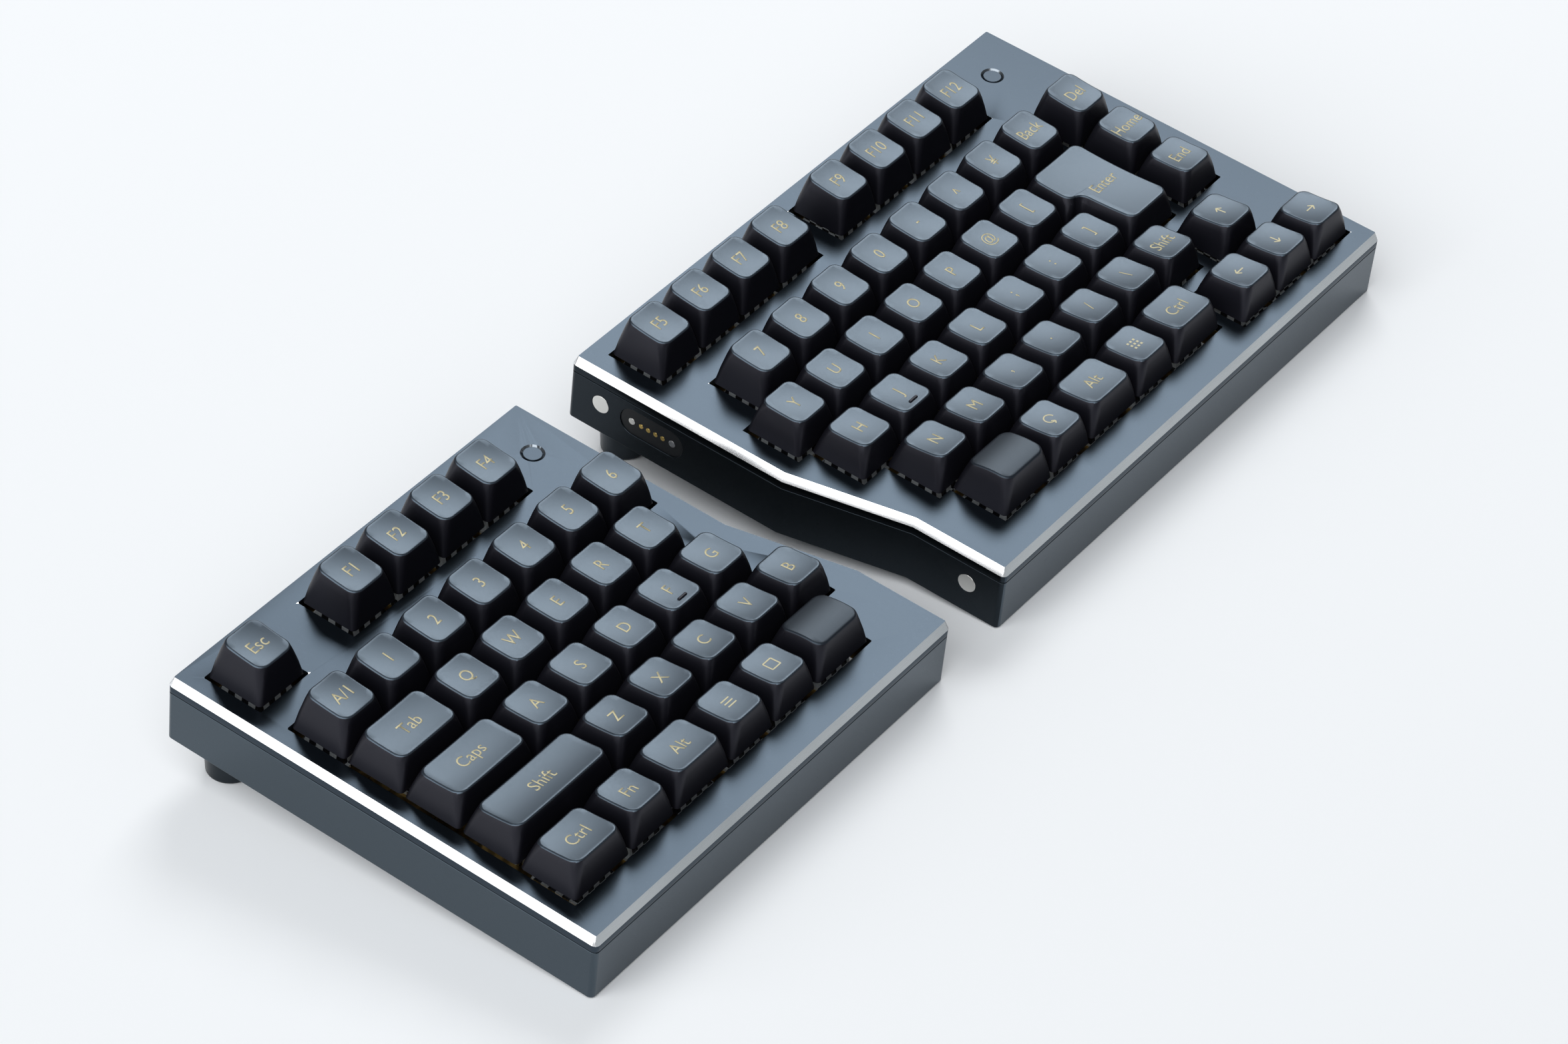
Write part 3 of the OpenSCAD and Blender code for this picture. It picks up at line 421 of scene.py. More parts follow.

# %% [markdown]
# The caps are matte plastic, nearly black with a trace of blue, and the legends are pale tan ink.
# The tops are painted a little lighter than the sides, with a blue-tinted painted sheen and more
# gloss, and the sides are painted darker, as painted shade. The tops of the two thumb caps have a
# little less of that painted sheen.

# %% Finishes of the caps
# Painted sheen on the tops: lighter colours than the sides and a blue tint in the reflection.
LIT_TOP_DARK, LIT_TOP_LIGHT = (0.006, 0.007, 0.010), (0.009, 0.010, 0.014)
SHEEN_TINT = (0.62, 0.81, 1.0)

SHEEN_CAP_TOP = finish("cap_top", LIT_TOP_DARK, LIT_TOP_LIGHT, (0.33, 0.41), 1900, 0.16, tint=SHEEN_TINT,
                 gloss=1.0, ior=1.62)
THUMB_TOP_LESS_SHEEN = finish("thumb_top_less_sheen", LIT_TOP_DARK, LIT_TOP_LIGHT, (0.35, 0.43), 1900, 0.16, tint=SHEEN_TINT,
                   gloss=0.65)
SHADED_CAP_SIDE = finish("cap_side_painted_shade", (0.004, 0.004, 0.006), (0.006, 0.006, 0.009),
                  (0.34, 0.42), 1900, 0.16, tint=(0.85, 0.85, 1.0), gloss=0.35)
INK = finish("legend_ink", (0.60, 0.54, 0.33), (0.66, 0.59, 0.37), (0.45, 0.55), 1500, 0.05)
print("caps", SHEEN_CAP_TOP.name, THUMB_TOP_LESS_SHEEN.name, SHADED_CAP_SIDE.name, "and", INK.name)

# %% [markdown]
# The brass plate and the pale switch housings glint between the keys. A Checker texture breaks the
# housings' colour into pale and dark squares, a pitch apart, which show as dashes under the caps. A
# housing has clips and slots too small to model one by one, so a Checker texture breaks it up into
# light and dark. The pieces on the dock face are nickel, gilt and black moulding, and the hidden
# pieces have plain finishes.

# %% Finishes of the other pieces
DASH_PITCH = 2.3 * MM
DASH_COLOUR = (0.012, 0.012, 0.014)
DASH_STRETCH = (1.0, 1.0, 0.02)


def break_up(material, pitch, dark):
    """Break a finish up into its own colour and a dark colour in a checker, a pitch apart, along x
    and y.
    """
    nodes = material.node_tree.nodes
    shader = nodes["Principled BSDF"]
    plain = shader.inputs["Base Color"].links[0].from_socket
    place = nodes.new("ShaderNodeTexCoord")
    upright = nodes.new("ShaderNodeVectorMath")
    upright.operation = "MULTIPLY"
    upright.inputs[1].default_value = DASH_STRETCH
    dashes = nodes.new("ShaderNodeTexChecker")
    dashes.inputs["Scale"].default_value = 1 / pitch
    dashes.inputs["Color2"].default_value = (*dark, 1.0)
    link = material.node_tree.links.new
    link(place.outputs["Object"], upright.inputs[0])
    link(upright.outputs["Vector"], dashes.inputs["Vector"])
    link(plain, dashes.inputs["Color1"])
    link(dashes.outputs["Color"], shader.inputs["Base Color"])


BRASS = finish("brushed_brass", (0.55, 0.36, 0.11), (0.66, 0.46, 0.17), (0.22, 0.40), 1200, 0.1,
               metal=1.0, stretch=ALONG_X)
HOUSING = finish("clear_housing", (0.40, 0.43, 0.45), (0.52, 0.55, 0.56), (0.20, 0.32), 700, 0.04)
break_up(HOUSING, DASH_PITCH, DASH_COLOUR)
SLIDER = finish("slider_plastic", (0.55, 0.30, 0.12), (0.62, 0.35, 0.15), (0.35, 0.45), 900, 0.05)
BOARD = finish("solder_mask", (0.012, 0.035, 0.022), (0.018, 0.048, 0.030), (0.35, 0.5), 900, 0.1)
FOIL = finish("cell_foil", (0.50, 0.52, 0.55), (0.60, 0.62, 0.65), (0.25, 0.4), 300, 0.2,
              metal=1.0)
FOOT_METAL = finish("dark_foot", (0.030, 0.036, 0.042), (0.040, 0.047, 0.054), (0.28, 0.40), 1500,
                    0.1, metal=1.0)
NICKEL = finish("bright_nickel", (0.78, 0.77, 0.73), (0.84, 0.83, 0.80), (0.14, 0.24), 500, 0.04,
                metal=1.0)
BLACK_MOULD = finish("black_mould", (0.004, 0.005, 0.006), (0.006, 0.007, 0.009), (0.3, 0.42),
                     1500, 0.1, gloss=0.3)
GOLD = finish("gold_contact", (0.80, 0.55, 0.16), (0.88, 0.64, 0.22), (0.12, 0.22), 700, 0.03,
              metal=1.0)
STEEL = finish("plain_steel", (0.50, 0.51, 0.53), (0.60, 0.61, 0.63), (0.22, 0.34), 900, 0.05,
               metal=1.0)
BLACK_ZINC = finish("black_zinc", (0.03, 0.031, 0.033), (0.045, 0.046, 0.05), (0.3, 0.45), 900,
                    0.05, metal=1.0)
LENS = finish("light_pipe", (0.036, 0.048, 0.062), (0.041, 0.054, 0.069), (0.26, 0.31), 2600, 0.03,
              metal=1.0)
print("materials", len(bpy.data.materials))

# %% [markdown]
# A keycap is a hollow loft: a rounded skirt that narrows to a smaller rounded top, sloped for its
# row and hollowed for a fingertip. It could be one subdivided cube, but then the corners would
# pull away from their true radii. Here each level is a flat outline whose corners are rounded by
# a vertex bevel, the levels are joined by bridging, and the top rim is bevelled.

# %% Levels of a keycap
CORNER_SEGMENTS = 6


def round_off(bm, geometry, radius, segments, affect="EDGES", clamp=False):
    """Round edges or points with a bevel and give back the new faces."""
    return bmesh.ops.bevel(bm, geom=geometry, offset=radius, offset_type="OFFSET",
                           segments=segments, profile=0.5, affect=affect, material=-1,
                           clamp_overlap=clamp)["faces"]


def box_corners(width, depth):
    """Corners of a rectangle about the origin, counter-clockwise."""
    return [(sx * width / 2, sy * depth / 2) for sx, sy in ((-1, -1), (1, -1), (1, 1), (-1, 1))]


def moved_in(corners, distance):
    """Square corners, all moved inwards by one distance."""
    moved = []
    for i, corner in enumerate(corners):
        here = Vector(corner)
        before = (here - Vector(corners[i - 1])).normalized()
        after = (Vector(corners[(i + 1) % len(corners)]) - here).normalized()
        moved.append(here + (before.orthogonal() + after.orthogonal()) * distance)
    return moved


def level(bm, corners, radius, height, slope=0.0):
    """A flat outline with rounded corners, lifted to a height and sloped from front to back."""
    others = set(bm.faces)
    verts = [bm.verts.new((x, y, 0)) for x, y in corners]
    bm.faces.new(verts)
    round_off(bm, verts, radius, CORNER_SEGMENTS, affect="VERTICES")
    face = next(f for f in bm.faces if f not in others)
    bmesh.ops.rotate(bm, verts=face.verts, matrix=Matrix.Rotation(slope, 3, "X"))
    bmesh.ops.translate(bm, verts=face.verts, vec=(0, 0, height))
    return face


def loft(bm, levels):
    """Join outlines into a wall from the first to the last, and keep the last one's face."""
    loops = [list(face.edges) for face in levels]
    bmesh.ops.delete(bm, geom=levels[:-1], context="FACES_ONLY")
    for lower, upper in zip(loops, loops[1:]):
        bmesh.ops.bridge_loops(bm, edges=lower + upper)


print("a square of 2, moved in:", [tuple(c) for c in moved_in(box_corners(2, 2), 0.25)])

# %% [markdown]
# The finger hollow is a shallow arc across the key and another along it. Planes cut the finished
# shell into a grid, so that there are enough points to press down, and the pressing fades out along
# the walls. The two thumb keys are crowned instead: an arc along the key and upwards.

# %% Finger hollow
TOP_INSET_X = 5.8 * MM
TOP_INSET_Y = 4.8 * MM
CAP_WALL = 1.5 * MM
DISH = 0.25 * MM
HOLLOW = 0.026
CROWN = 1.0 * MM
CUT_STEP = 1.5 * MM


def arc(distance, chord, depth):
    """Depth of a shallow arc under its chord, at a distance from the middle."""
    radius = (chord * chord / 4 + depth * depth) / (2 * depth)
    return max(0.0, depth - radius + math.sqrt(max(0.0, radius * radius - distance * distance)))


def reach(corners, axis):
    """Lowest and highest value of the corners along x or y."""
    return min(c[axis] for c in corners), max(c[axis] for c in corners)


def press(x, y, top, crowned):
    """How far a cap's top lies above its flat slope at a point."""
    low, high = reach(top, 0)
    front, rear = reach(top, 1)
    if crowned:
        return arc(y, rear - front + CAP_WALL / 2, CROWN)
    along = arc(y - (front + rear) / 2, rear - front, (rear - front) * HOLLOW)
    return -arc(x - (low + high) / 2, high - low - CAP_WALL / 2, DISH) - along


def cut_grid(bm, corners):
    """Cut everything by planes across x and y, a step apart, away from the outer walls."""
    for axis, across in enumerate((Vector((1, 0, 0)), Vector((0, 1, 0)))):
        low, high = reach(corners, axis)
        steps = round((high - low) / CUT_STEP)
        for i in range(2, steps - 1):
            everything = list(bm.verts) + list(bm.edges) + list(bm.faces)
            bmesh.ops.bisect_plane(bm, geom=everything, plane_no=across,
                                   plane_co=across * (low + (high - low) * i / steps))


one_top = box_corners(PITCH - TOP_INSET_X, PITCH - TOP_INSET_Y)
print("hollow of a key one pitch wide", round(-press(0, 0, one_top, False) / MM, 2), "mm")

# %% [markdown]
# A cap's outside goes up in four levels, which give the walls their slight curve. A second, smaller
# loft makes the inside, a filled face joins the two at the foot, and a post reaches down to the
# switch. Faces that look up get the top's painted sheen, and the others the sides' painted shade.

# %% Keycap builder
SKIRT_R = 1.4 * MM
TOP_R = 3.1 * MM
RIM_R = 0.55 * MM
RIM_SEGMENTS = 4
LEVELS = ((0.0, 0.0), (0.4, 0.33), (0.75, 0.69), (1.0, 1.0))
SKIRT_LIFT = 0.45 * MM
PRESS_FROM, PRESS_FULL = 0.62, 0.92
DEEPEST = 0.7 * MM
POST_D = 5.6 * MM
POST_Z = 0.65 * MM
POST_SIDES = 20
TOP_LEAN = 0.6
TOP_SHEEN_SLOT, SIDE_SHADE_SLOT = 0, 1
CAP_CREASE = math.radians(50)


def cap_mesh(skirt, top, height, slope, crowned, posts):
    """Mesh of a cap in its key's own frame, with its posts."""
    bm = bmesh.new()
    outer = []
    for rise, draw in LEVELS:
        corners = [Vector(a).lerp(Vector(b), draw) for a, b in zip(skirt, top)]
        outer.append(level(bm, corners, SKIRT_R + (TOP_R - SKIRT_R) * draw,
                           SKIRT_LIFT + (height - SKIRT_LIFT) * rise, slope * rise))
    loft(bm, outer)
    round_off(bm, list(outer[-1].edges), RIM_R, RIM_SEGMENTS)
    cut_grid(bm, skirt)
    for v in bm.verts:
        rise = (v.co.z - v.co.y * math.tan(slope)) / height
        share = min(1.0, max(0.0, (rise - PRESS_FROM) / (PRESS_FULL - PRESS_FROM)))
        v.co.z += share * share * (3 - 2 * share) * press(v.co.x, v.co.y, top, crowned)
    ceiling = height - CAP_WALL - DEEPEST
    loft(bm, [level(bm, moved_in(skirt, CAP_WALL), SKIRT_R / 2, SKIRT_LIFT),
              level(bm, moved_in(top, CAP_WALL), SKIRT_R / 2, ceiling, slope)])
    bmesh.ops.triangle_fill(bm, edges=[e for e in bm.edges if e.is_boundary], normal=(0, 0, -1),
                            use_beauty=False, use_dissolve=False)
    for x, y in posts:
        post = bmesh.ops.create_cone(bm, cap_ends=True, segments=POST_SIDES, radius1=POST_D / 2,
                                     radius2=POST_D / 2, depth=ceiling - POST_Z)["verts"]
        bmesh.ops.translate(bm, verts=post, vec=(x, y, (ceiling + POST_Z) / 2))
    bmesh.ops.recalc_face_normals(bm, faces=list(bm.faces))
    for face in bm.faces:
        face.smooth = True
        # Up-facing faces take the painted sheen, the rest the painted shade.
        face.material_index = TOP_SHEEN_SLOT if face.normal.z > TOP_LEAN else SIDE_SHADE_SLOT
    mesh = mesh_from(bm, "cap")
    mesh.set_sharp_from_angle(angle=CAP_CREASE)
    return mesh


print("levels of a cap", len(LEVELS))

# %% [markdown]
# One mesh serves every key of the same width and row, so it is built once and copied. Each cap
# stands for its CAD key and rides on the same body.

# %% Keycaps
CAP_GAP = 0.85 * MM
ROW_H = [h * MM for h in (12.0, 12.1, 10.5, 9.7, 10.3, 10.2)]
ROW_SLOPE = [math.radians(a) for a in (5.8, 4.0, 0.6, -3.6, -7.6, -6.7)]
STABILISER_REACH = 11.9 * MM
STABILISED = 2
cap_meshes = {}


def is_thumb(key):
    """The two blank keys under the thumbs."""
    return key["node"].startswith("key_thumb")


def cap_top(key):
    """Corners of a key's top."""
    return box_corners(key["width"] * PITCH - TOP_INSET_X, PITCH - TOP_INSET_Y)


def cap_for(key):
    """A copy of the shared mesh for a key's width, row and crown."""
    kind = (key["width"], key["row"], is_thumb(key))
    if kind not in cap_meshes:
        skirt = box_corners(key["width"] * PITCH - CAP_GAP, PITCH - CAP_GAP)
        ends = (-STABILISER_REACH, 0, STABILISER_REACH) if key["width"] > STABILISED else (0,)
        cap_meshes[kind] = cap_mesh(skirt, cap_top(key), ROW_H[key["row"]],
                                    ROW_SLOPE[key["row"]], is_thumb(key), [(x, 0) for x in ends])
    return cap_meshes[kind].copy()


def set_on(mesh, name, body, spot, *materials):
    """Set a mesh down at its key and let it move with its key."""
    mesh.transform(spot)
    mesh.name = name
    for material in materials:
        mesh.materials.append(material)
    piece = bpy.data.objects.new(name, mesh)
    scene.collection.objects.link(piece)
    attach(piece, body)
    return piece


for number, key in enumerate(KEYS):
    key["name"] = f"{key['node']}_{number:02d}"
    cap = set_on(cap_for(key), key["name"] + "_cap", key["node"], key_spot(key),
                 THUMB_TOP_LESS_SHEEN if is_thumb(key) else SHEEN_CAP_TOP, SHADED_CAP_SIDE)
    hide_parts(key["node"])
print("caps", len(KEYS), "from shapes", len(cap_meshes))

# %% [markdown]
# The tall enter key spans two rows. It could be two caps pushed into each other, but a seam would
# show on top, so one L-shaped outline with six corners goes through the same builder.

# %% Tall enter key
ENTER_RIGHT, ENTER_UPPER, ENTER_LOWER = 15.0, 1.5, 1.25
ENTER_H = (ROW_H[2] + ROW_H[3]) / 2
ENTER_SLOPE = (ROW_SLOPE[2] + ROW_SLOPE[3]) / 2
enter_x = (ENTER_RIGHT - ENTER_LOWER / 2) * PITCH
ENTER_SPOT = SET_DOWN[RIGHT] @ Matrix.Translation((enter_x, (row_y(2) + row_y(3)) / 2, 0))


def enter_corners(inset_x, inset_y):
    """Corners of the tall enter key about its switch."""
    right = ENTER_LOWER / 2 * PITCH - inset_x
    lower = -ENTER_LOWER / 2 * PITCH + inset_x
    upper = (ENTER_LOWER / 2 - ENTER_UPPER) * PITCH + inset_x
    end = PITCH - inset_y
    return [(lower, -end), (right, -end), (right, end), (upper, end), (upper, inset_y),
            (lower, inset_y)]


ENTER_TOP = enter_corners(TOP_INSET_X / 2, TOP_INSET_Y / 2)
enter_mesh = cap_mesh(enter_corners(CAP_GAP / 2, CAP_GAP / 2), ENTER_TOP, ENTER_H, ENTER_SLOPE,
                      False, [(0, y) for y in (-STABILISER_REACH, 0, STABILISER_REACH)])
enter = set_on(enter_mesh, "key_enter_cap", "key_enter", ENTER_SPOT, SHEEN_CAP_TOP, SHADED_CAP_SIDE)
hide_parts("key_enter")
print("enter has", len(enter.data.polygons), "faces")

# %% [markdown]
# Legends are printed in thin ink. They could be a picture on the cap, but shapes stay sharp from
# close by. A Text curve makes the words, and its flat letters become a mesh that is centred and
# made a little narrower.

# %% Words
LETTER_SIZE = 5.6 * MM
LETTER_BOLD = 0.006 * MM
LETTER_WIDTH = 0.88
LETTER_STEPS = 4


def word_bmesh(words):
    """Flat letters about the origin."""
    curve = bpy.data.curves.new("legend", "FONT")
    curve.body = words
    curve.size = LETTER_SIZE
    curve.offset = LETTER_BOLD
    curve.resolution_u = LETTER_STEPS
    holder = bpy.data.objects.new("legend", curve)
    scene.collection.objects.link(holder)
    bpy.context.view_layer.update()
    flat = bpy.data.meshes.new_from_object(holder.evaluated_get(
        bpy.context.evaluated_depsgraph_get()))
    bm = bmesh.new()
    bm.from_mesh(flat)
    bpy.data.objects.remove(holder)
    bpy.data.curves.remove(curve)
    bpy.data.meshes.remove(flat)
    spots = [v.co for v in bm.verts]
    middle = [sum(reach(spots, axis)) / 2 for axis in (0, 1)]
    bmesh.ops.translate(bm, verts=bm.verts, vec=(-middle[0], -middle[1], 0))
    bmesh.ops.scale(bm, verts=bm.verts, vec=(LETTER_WIDTH, 1, 1))
    return bm


print("letters of size", round(LETTER_SIZE / MM, 1), "mm")

# %% [markdown]
# Some keys have a sign in place of a word. Arrows, bars, a square and a turn sign are drawn with
# flat strokes, and the dots are small squares.

# %% Signs
STROKE = 0.42 * MM
STROKE_PIECES = 4
SIGN_HALF = 1.7 * MM
BAR_STEP = 1.3 * MM
DOT_STEP = 1.4 * MM
DOT_HALF = 0.36 * MM
DIAGONAL = 1.41
HEAD_ANGLE = 135
TURN_END, TURN_STEP = 270, 15
TURN_CHORD, TURN_LEAN = 0.28, 97
TURN_STEM, TURN_HEAD = 0.2, 0.7
ARROWS = {"up": 90, "left": 180, "down": 270, "right": 0}
SIGNS = (*ARROWS, "bars", "square", "dots", "turn")


def bar(bm, x, y, length, angle=0.0):
    """A stroke from a point, at an angle."""
    made = bmesh.ops.create_grid(bm, x_segments=STROKE_PIECES, y_segments=1, size=0.5)["verts"]
    bmesh.ops.translate(bm, verts=made, vec=(0.5, 0, 0))
    bmesh.ops.scale(bm, verts=made, vec=(length, STROKE, 1))
    bmesh.ops.rotate(bm, verts=made, matrix=Matrix.Rotation(math.radians(angle), 3, "Z"))
    bmesh.ops.translate(bm, verts=made, vec=(x, y, 0))


def arrow(bm, x, y, length, head, angle):
    """An open arrow that ends at a point."""
    back = math.radians(angle + 180)
    bar(bm, x + length * math.cos(back), y + length * math.sin(back), length, angle)
    for side in (HEAD_ANGLE, -HEAD_ANGLE):
        bar(bm, x, y, head, angle + side)


def sign_bmesh(sign):
    """Flat strokes of a sign about the origin."""
    bm = bmesh.new()
    half = SIGN_HALF
    if sign in ARROWS:
        turn = math.radians(ARROWS[sign])
        arrow(bm, half * math.cos(turn), half * math.sin(turn), 2 * half, half, ARROWS[sign])
    elif sign == "bars":
        for y in (-BAR_STEP, 0, BAR_STEP):
            bar(bm, -half, y, 2 * half)
    elif sign == "square":
        for angle in (0, 90, 180, 270):
            turn = math.radians(angle + 225)
            corner = DIAGONAL * half
            bar(bm, corner * math.cos(turn), corner * math.sin(turn), 2 * half, angle)
    elif sign == "dots":
        for x in (-DOT_STEP, 0, DOT_STEP):
            for y in (-DOT_STEP, 0, DOT_STEP):
                made = bmesh.ops.create_grid(bm, x_segments=1, y_segments=1, size=DOT_HALF)
                bmesh.ops.translate(bm, verts=made["verts"], vec=(x, y, 0))
    elif sign == "turn":
        for angle in range(0, TURN_END, TURN_STEP):
            turn = math.radians(angle)
            bar(bm, half * math.cos(turn), half * math.sin(turn), TURN_CHORD * half,
                angle + TURN_LEAN)
        arrow(bm, TURN_STEM * half, -half, TURN_STEM * half, TURN_HEAD * half, 0)
    return bm


print("signs", len(SIGNS))

# %% [markdown]
# A legend gets next to no thickness, and each of its points is set on the key's hollow top, a hair
# above it.

# %% Legends
INK_T = 0.02 * MM
INK_LIFT = 0.045 * MM


def print_legend(legend, name, body, spot, top, height, slope):
    """Lay a legend on a cap's top."""
    bm = sign_bmesh(legend) if legend in SIGNS else word_bmesh(legend)
    bmesh.ops.solidify(bm, geom=list(bm.faces), thickness=INK_T)
    for v in bm.verts:
        v.co.z += (height + v.co.y * math.tan(slope) + press(v.co.x, v.co.y, top, False)
                   + INK_LIFT)
    bmesh.ops.recalc_face_normals(bm, faces=list(bm.faces))
    set_on(mesh_from(bm, name), name, body, spot, INK)


for key in KEYS:
    if key["legend"]:
        print_legend(key["legend"], key["name"] + "_legend", key["node"], key_spot(key),
                     cap_top(key), ROW_H[key["row"]], ROW_SLOPE[key["row"]])
print_legend("Enter", "key_enter_legend", "key_enter", ENTER_SPOT, ENTER_TOP, ENTER_H,
             ENTER_SLOPE)
print("legends", sum(1 for key in KEYS if key["legend"]) + 1)

# %% [markdown]
# The index fingers find home by a raised bar near the front edge of two caps. Each is a small
# block with rounded edges, set on the slope of its cap.

# %% Homing bars
HOMING_L, HOMING_W, HOMING_H = 3.6 * MM, 0.9 * MM, 0.45 * MM
HOMING_INSET = 2.4 * MM
HOMING_SEGMENTS = 3
HOME_LETTERS = ("F", "J")

for key in (k for k in KEYS if k["legend"] in HOME_LETTERS):
    bm = bmesh.new()
    block = bmesh.ops.create_cube(bm, size=1.0)["verts"]
    bmesh.ops.scale(bm, verts=block, vec=(HOMING_L, HOMING_W, 2 * HOMING_H))
    round_off(bm, list(bm.edges), HOMING_W / 3, HOMING_SEGMENTS)
    y = reach(cap_top(key), 1)[0] + HOMING_INSET
    slope = ROW_SLOPE[key["row"]]
    bmesh.ops.rotate(bm, verts=bm.verts, matrix=Matrix.Rotation(slope, 3, "X"))
    bmesh.ops.translate(bm, verts=bm.verts, vec=(0, y, ROW_H[key["row"]] + y * math.tan(slope)
                                                 + press(0, y, cap_top(key), False)))
    name = key["name"] + "_homing_bar"
    set_on(mesh_from(bm, name), name, key["node"], key_spot(key), SHADED_CAP_SIDE)
print("homing bars", len(HOME_LETTERS))

# %% [markdown]
# Metal and moulded pieces keep their CAD shape, but real edges are never knife sharp: a thin
# rounding catches a line of light. A copy of the CAD mesh is merged, its flat faces are made whole
# again, and its outer edges get a narrow bevel. Faces are then painted by where they point.

# %% Copies with soft edges
FLAT = math.radians(0.5)
EDGE_ANGLE = math.radians(35)
EDGE_SEGMENTS = 2
WIDE = 20 * MM * MM
LEVEL = 0.9995
SAME_SPOT = 0.001 * MM


def copy_of(node):
    """A merged copy of a CAD node as a bmesh."""
    bm = bmesh.new()
    bm.from_mesh(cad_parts[node].data)
    bmesh.ops.remove_doubles(bm, verts=list(bm.verts), dist=SAME_SPOT)
    bmesh.ops.dissolve_limit(bm, angle_limit=FLAT, verts=list(bm.verts), edges=list(bm.edges))
    return bm


def soften(bm, width):
    """Round every outer edge."""
    edges = [e for e in bm.edges if e.is_manifold and e.is_convex
             and e.calc_face_angle() > EDGE_ANGLE]
    round_off(bm, edges, width, EDGE_SEGMENTS, clamp=True)


def dress(bm, node, body, slot, *materials):
    """Show a finished copy in place of its CAD node. Wide faces stay flat."""
    bm.normal_update()
    wide = {face for face in bm.faces if face.calc_area() > WIDE}
    for face in bm.faces:
        beside = {other for edge in face.edges for other in edge.link_faces if other in wide}
        level_with = any(face.normal.dot(other.normal) > LEVEL for other in beside)
        face.smooth = face not in wide and not level_with
    piece = piece_from(bm, node + "_dressed")
    mesh = piece.data
    mesh.set_sharp_from_angle(angle=EDGE_ANGLE)
    for polygon in mesh.polygons:
        if not polygon.use_smooth:
            for corner in polygon.loop_indices:
                mesh.edges[mesh.loops[corner].edge_index].use_edge_sharp = True
    for material in materials:
        mesh.materials.append(material)
    flatten = piece.modifiers.new("flat faces", "WEIGHTED_NORMAL")
    flatten.keep_sharp = True
    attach(piece, body)
    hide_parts(node)
    return piece


print("edges above", round(math.degrees(EDGE_ANGLE)), "degrees are rounded")

# %% [markdown]
# The deck is milled from the solid, so a round cutter leaves a small radius in every corner of a
# key opening. Those corners are the upright hollow edges of the copy, and a bevel rounds them like
# any other edge. The sloping rim is left bright, and so is the countersink round the status lens.
# The rounded corners of the openings are painted with the bright bevel metal, as a painted glint,
# and the rims at the front and back with a darker metal, as painted shade. The inner faces, where
# the halves meet, are painted darker than the rest, as painted shade.

# %% Cases
CASE_EDGE = 0.16 * MM
CUTTER_R = 0.7 * MM
CUTTER_SEGMENTS = 4
UPRIGHT = 0.99
BODY = ("left_half", "right_half")
BEVEL_LEAN = (0.33, 0.48)
SINK_LEAN = (0.5, 0.9)
INWARD = (1, -1)
DOCK_LEAN = 0.6
TOP_FINISHES = (DECK, SHADED_BEVEL_X, BRIGHT_BEVEL_AND_GLINT, SINK, DOCK_SHADE)
TRAY_FINISHES = (TRAY, DOCK_SHADE)


def round_openings(bm, up):
    """Round the upright corners of the openings and give back the new faces."""
    corners = [e for e in bm.edges if e.is_manifold and not e.is_convex
               and e.calc_face_angle() > EDGE_ANGLE
               and abs((e.verts[0].co - e.verts[1].co).normalized().dot(up)) > UPRIGHT]
    return round_off(bm, corners, CUTTER_R, CUTTER_SEGMENTS, clamp=True)


for half in (LEFT, RIGHT):
    local = SET_DOWN[half].inverted().to_3x3()
    bm = copy_of(SIDE[half] + "_top_case")
    rounded = set(round_openings(bm, SET_DOWN[half].to_3x3() @ Vector((0, 0, 1))))
    for face in bm.faces:
        across = local @ face.normal
        coat = DECK
        # The rounded corners of the openings get the bright bevel metal, as a painted glint.
        if face in rounded:
            coat = BRIGHT_BEVEL_AND_GLINT
        # Bevels that face front or back get the darker copy, as painted shade.
        elif BEVEL_LEAN[0] < across.z < BEVEL_LEAN[1]:
            coat = SHADED_BEVEL_X if abs(across.y) > abs(across.x) else BRIGHT_BEVEL_AND_GLINT
        elif SINK_LEAN[0] < across.z < SINK_LEAN[1]:
            coat = SINK
        # Faces that look towards the other half are painted darker, as painted shade.
        elif across.x * INWARD[half] > DOCK_LEAN:
            coat = DOCK_SHADE
        face.material_index = TOP_FINISHES.index(coat)
    soften(bm, CASE_EDGE)
    top = dress(bm, SIDE[half] + "_top_case", BODY[half], "case", *TOP_FINISHES)
    bm = copy_of(SIDE[half] + "_bottom_case")
    for face in bm.faces:
        # Faces that look towards the other half are painted darker, as painted shade.
        inner = (local @ face.normal).x * INWARD[half] > DOCK_LEAN
        face.material_index = TRAY_FINISHES.index(DOCK_SHADE if inner else TRAY)
    soften(bm, CASE_EDGE)
    tray = dress(bm, SIDE[half] + "_bottom_case", BODY[half], "case", *TRAY_FINISHES)
    print(top.name, len(top.data.polygons), tray.name, len(tray.data.polygons))

# %% [markdown]
# Small turned and moulded pieces take the same soft edge. The dock connector is a black moulding
# with four gilt contacts and two holding magnets set into it. They are separate solids in the CAD
# node, so the copy is sorted into solids, and each is painted by its size and place.

# %% Small pieces and the dock connector
SMALL_EDGE = 0.12 * MM
SMALL = {"feet": (FOOT_METAL, "foot"), "dock_magnets": (NICKEL, "magnet"),
         "status_lens": (LENS, "lens"), "case_screws": (BLACK_ZINC, "screw"),
         "charging_socket": (STEEL, "socket")}
BODY_L, PIN_D = 5.0 * MM, 1.8 * MM
CONNECTOR_FINISHES = (BLACK_MOULD, GOLD, NICKEL, STEEL)


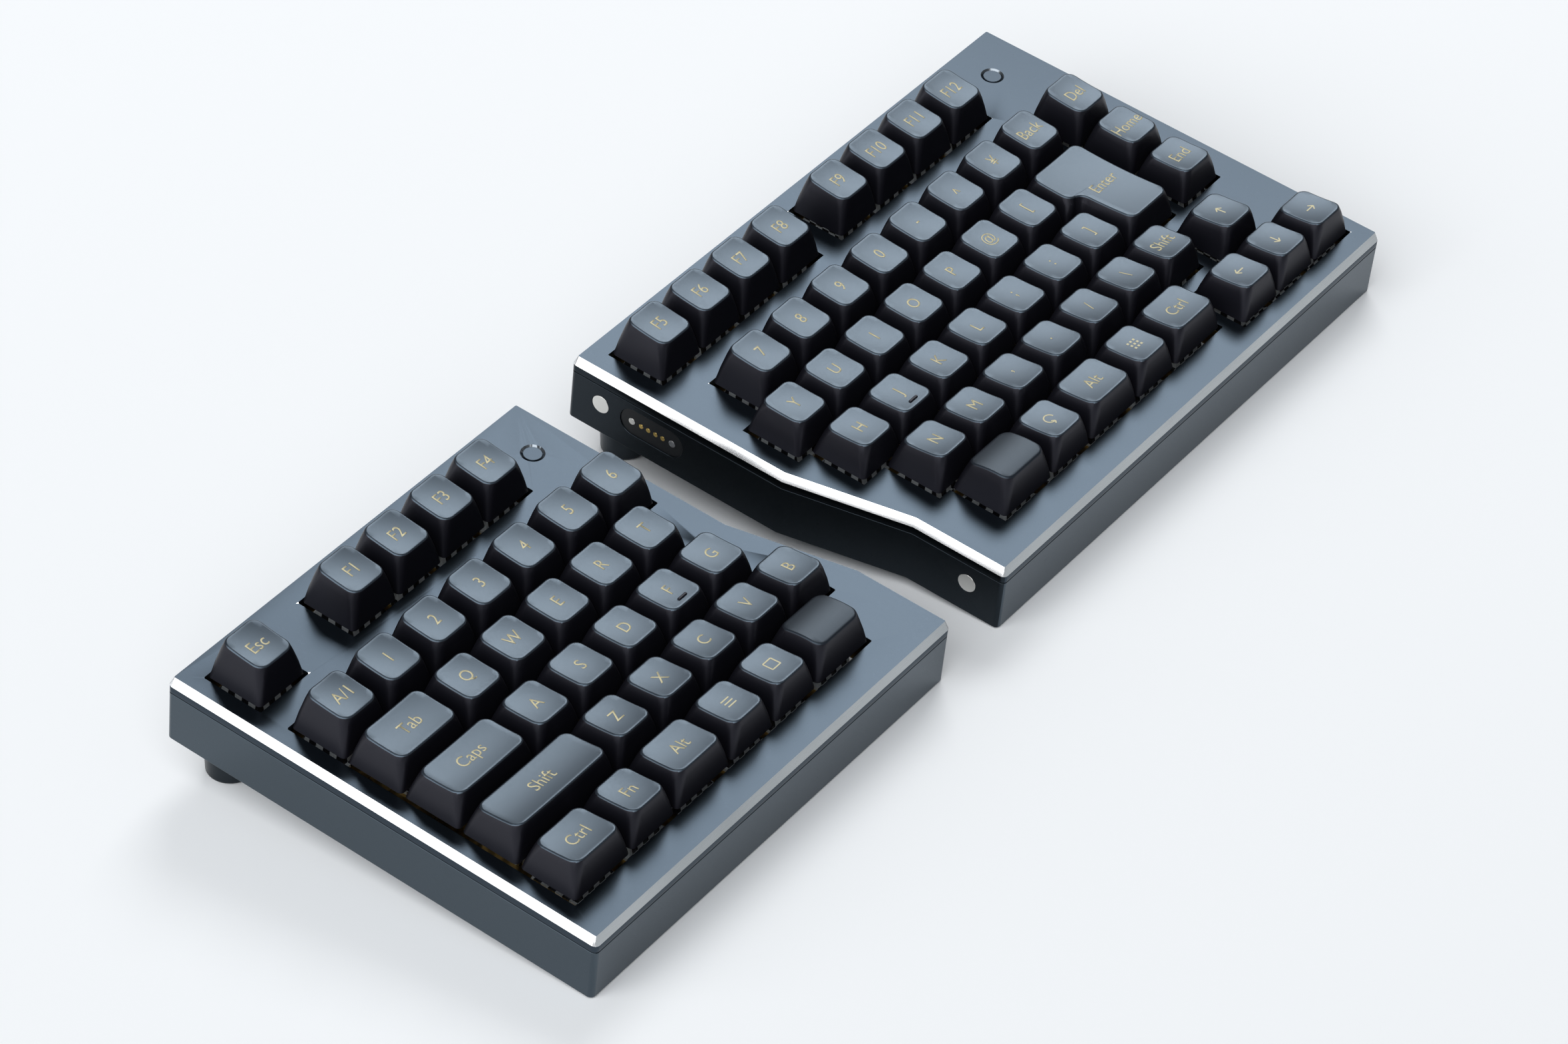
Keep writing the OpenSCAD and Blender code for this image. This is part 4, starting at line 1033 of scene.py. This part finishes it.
def solids_in(bm):
    """The separate solids of a bmesh, each as a list of its points."""
    rest = set(bm.verts)
    while rest:
        found = [rest.pop()]
        for v in found:
            for edge in v.link_edges:
                other = edge.other_vert(v)
                if other in rest:
                    rest.discard(other)
                    found.append(other)
        yield found


for half in (LEFT, RIGHT):
    for ending, (material, slot) in SMALL.items():
        node = f"{SIDE[half]}_{ending}"
        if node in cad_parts:
            bm = copy_of(node)
            soften(bm, SMALL_EDGE)
            dress(bm, node, BODY[half], slot, material)
    node = SIDE[half] + "_dock_connector"
    bm = copy_of(node)
    middle = sum(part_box(node)[end][1] for end in (0, 1)) / 2
    for solid in solids_in(bm):
        low, high = reach([v.co for v in solid], 1)
        coat = NICKEL if low > middle else STEEL
        if high - low > BODY_L:
            coat = BLACK_MOULD
        elif high - low < PIN_D:
            coat = GOLD
        for face in {face for v in solid for face in v.link_faces}:
            face.material_index = CONNECTOR_FINISHES.index(coat)
    soften(bm, SMALL_EDGE)
    dress(bm, node, BODY[half], "connector", *CONNECTOR_FINISHES)
    print(node, "solids painted")

# %% [markdown]
# Under each cap a slider runs in the switch. It isn't seen while the cap is on, but it moves with
# the key, so it is kept: the CAD node is copied and its caps, the wide solids, are taken out.

# %% Sliders
SLIDER_W = 9.0 * MM

for node in sorted({key["node"] for key in KEYS} | {"key_enter"}):
    bm = copy_of(node)
    for solid in list(solids_in(bm)):
        low, high = reach([v.co for v in solid], 0)
        if high - low > SLIDER_W:
            bmesh.ops.delete(bm, geom=solid, context="VERTS")
    sliders = piece_from(bm, node + "_sliders")
    sliders.data.materials.append(SLIDER)
    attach(sliders, node)
    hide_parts(node)
print("sliders kept in", len({key["node"] for key in KEYS}) + 1, "nodes")

# %% [markdown]
# The rest of the CAD nodes have their true shape and only need their finish.

# %% Finishes on CAD nodes
PLAIN = {"switch_plate": BRASS, "circuit_board": BOARD, "switches": HOUSING, "battery": FOIL}

for node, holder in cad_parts.items():
    ending = node.split("_", 1)[1]
    if ending in PLAIN:
        holder.data.materials.clear()
        holder.data.materials.append(PLAIN[ending])
        print(node, PLAIN[ending].name)
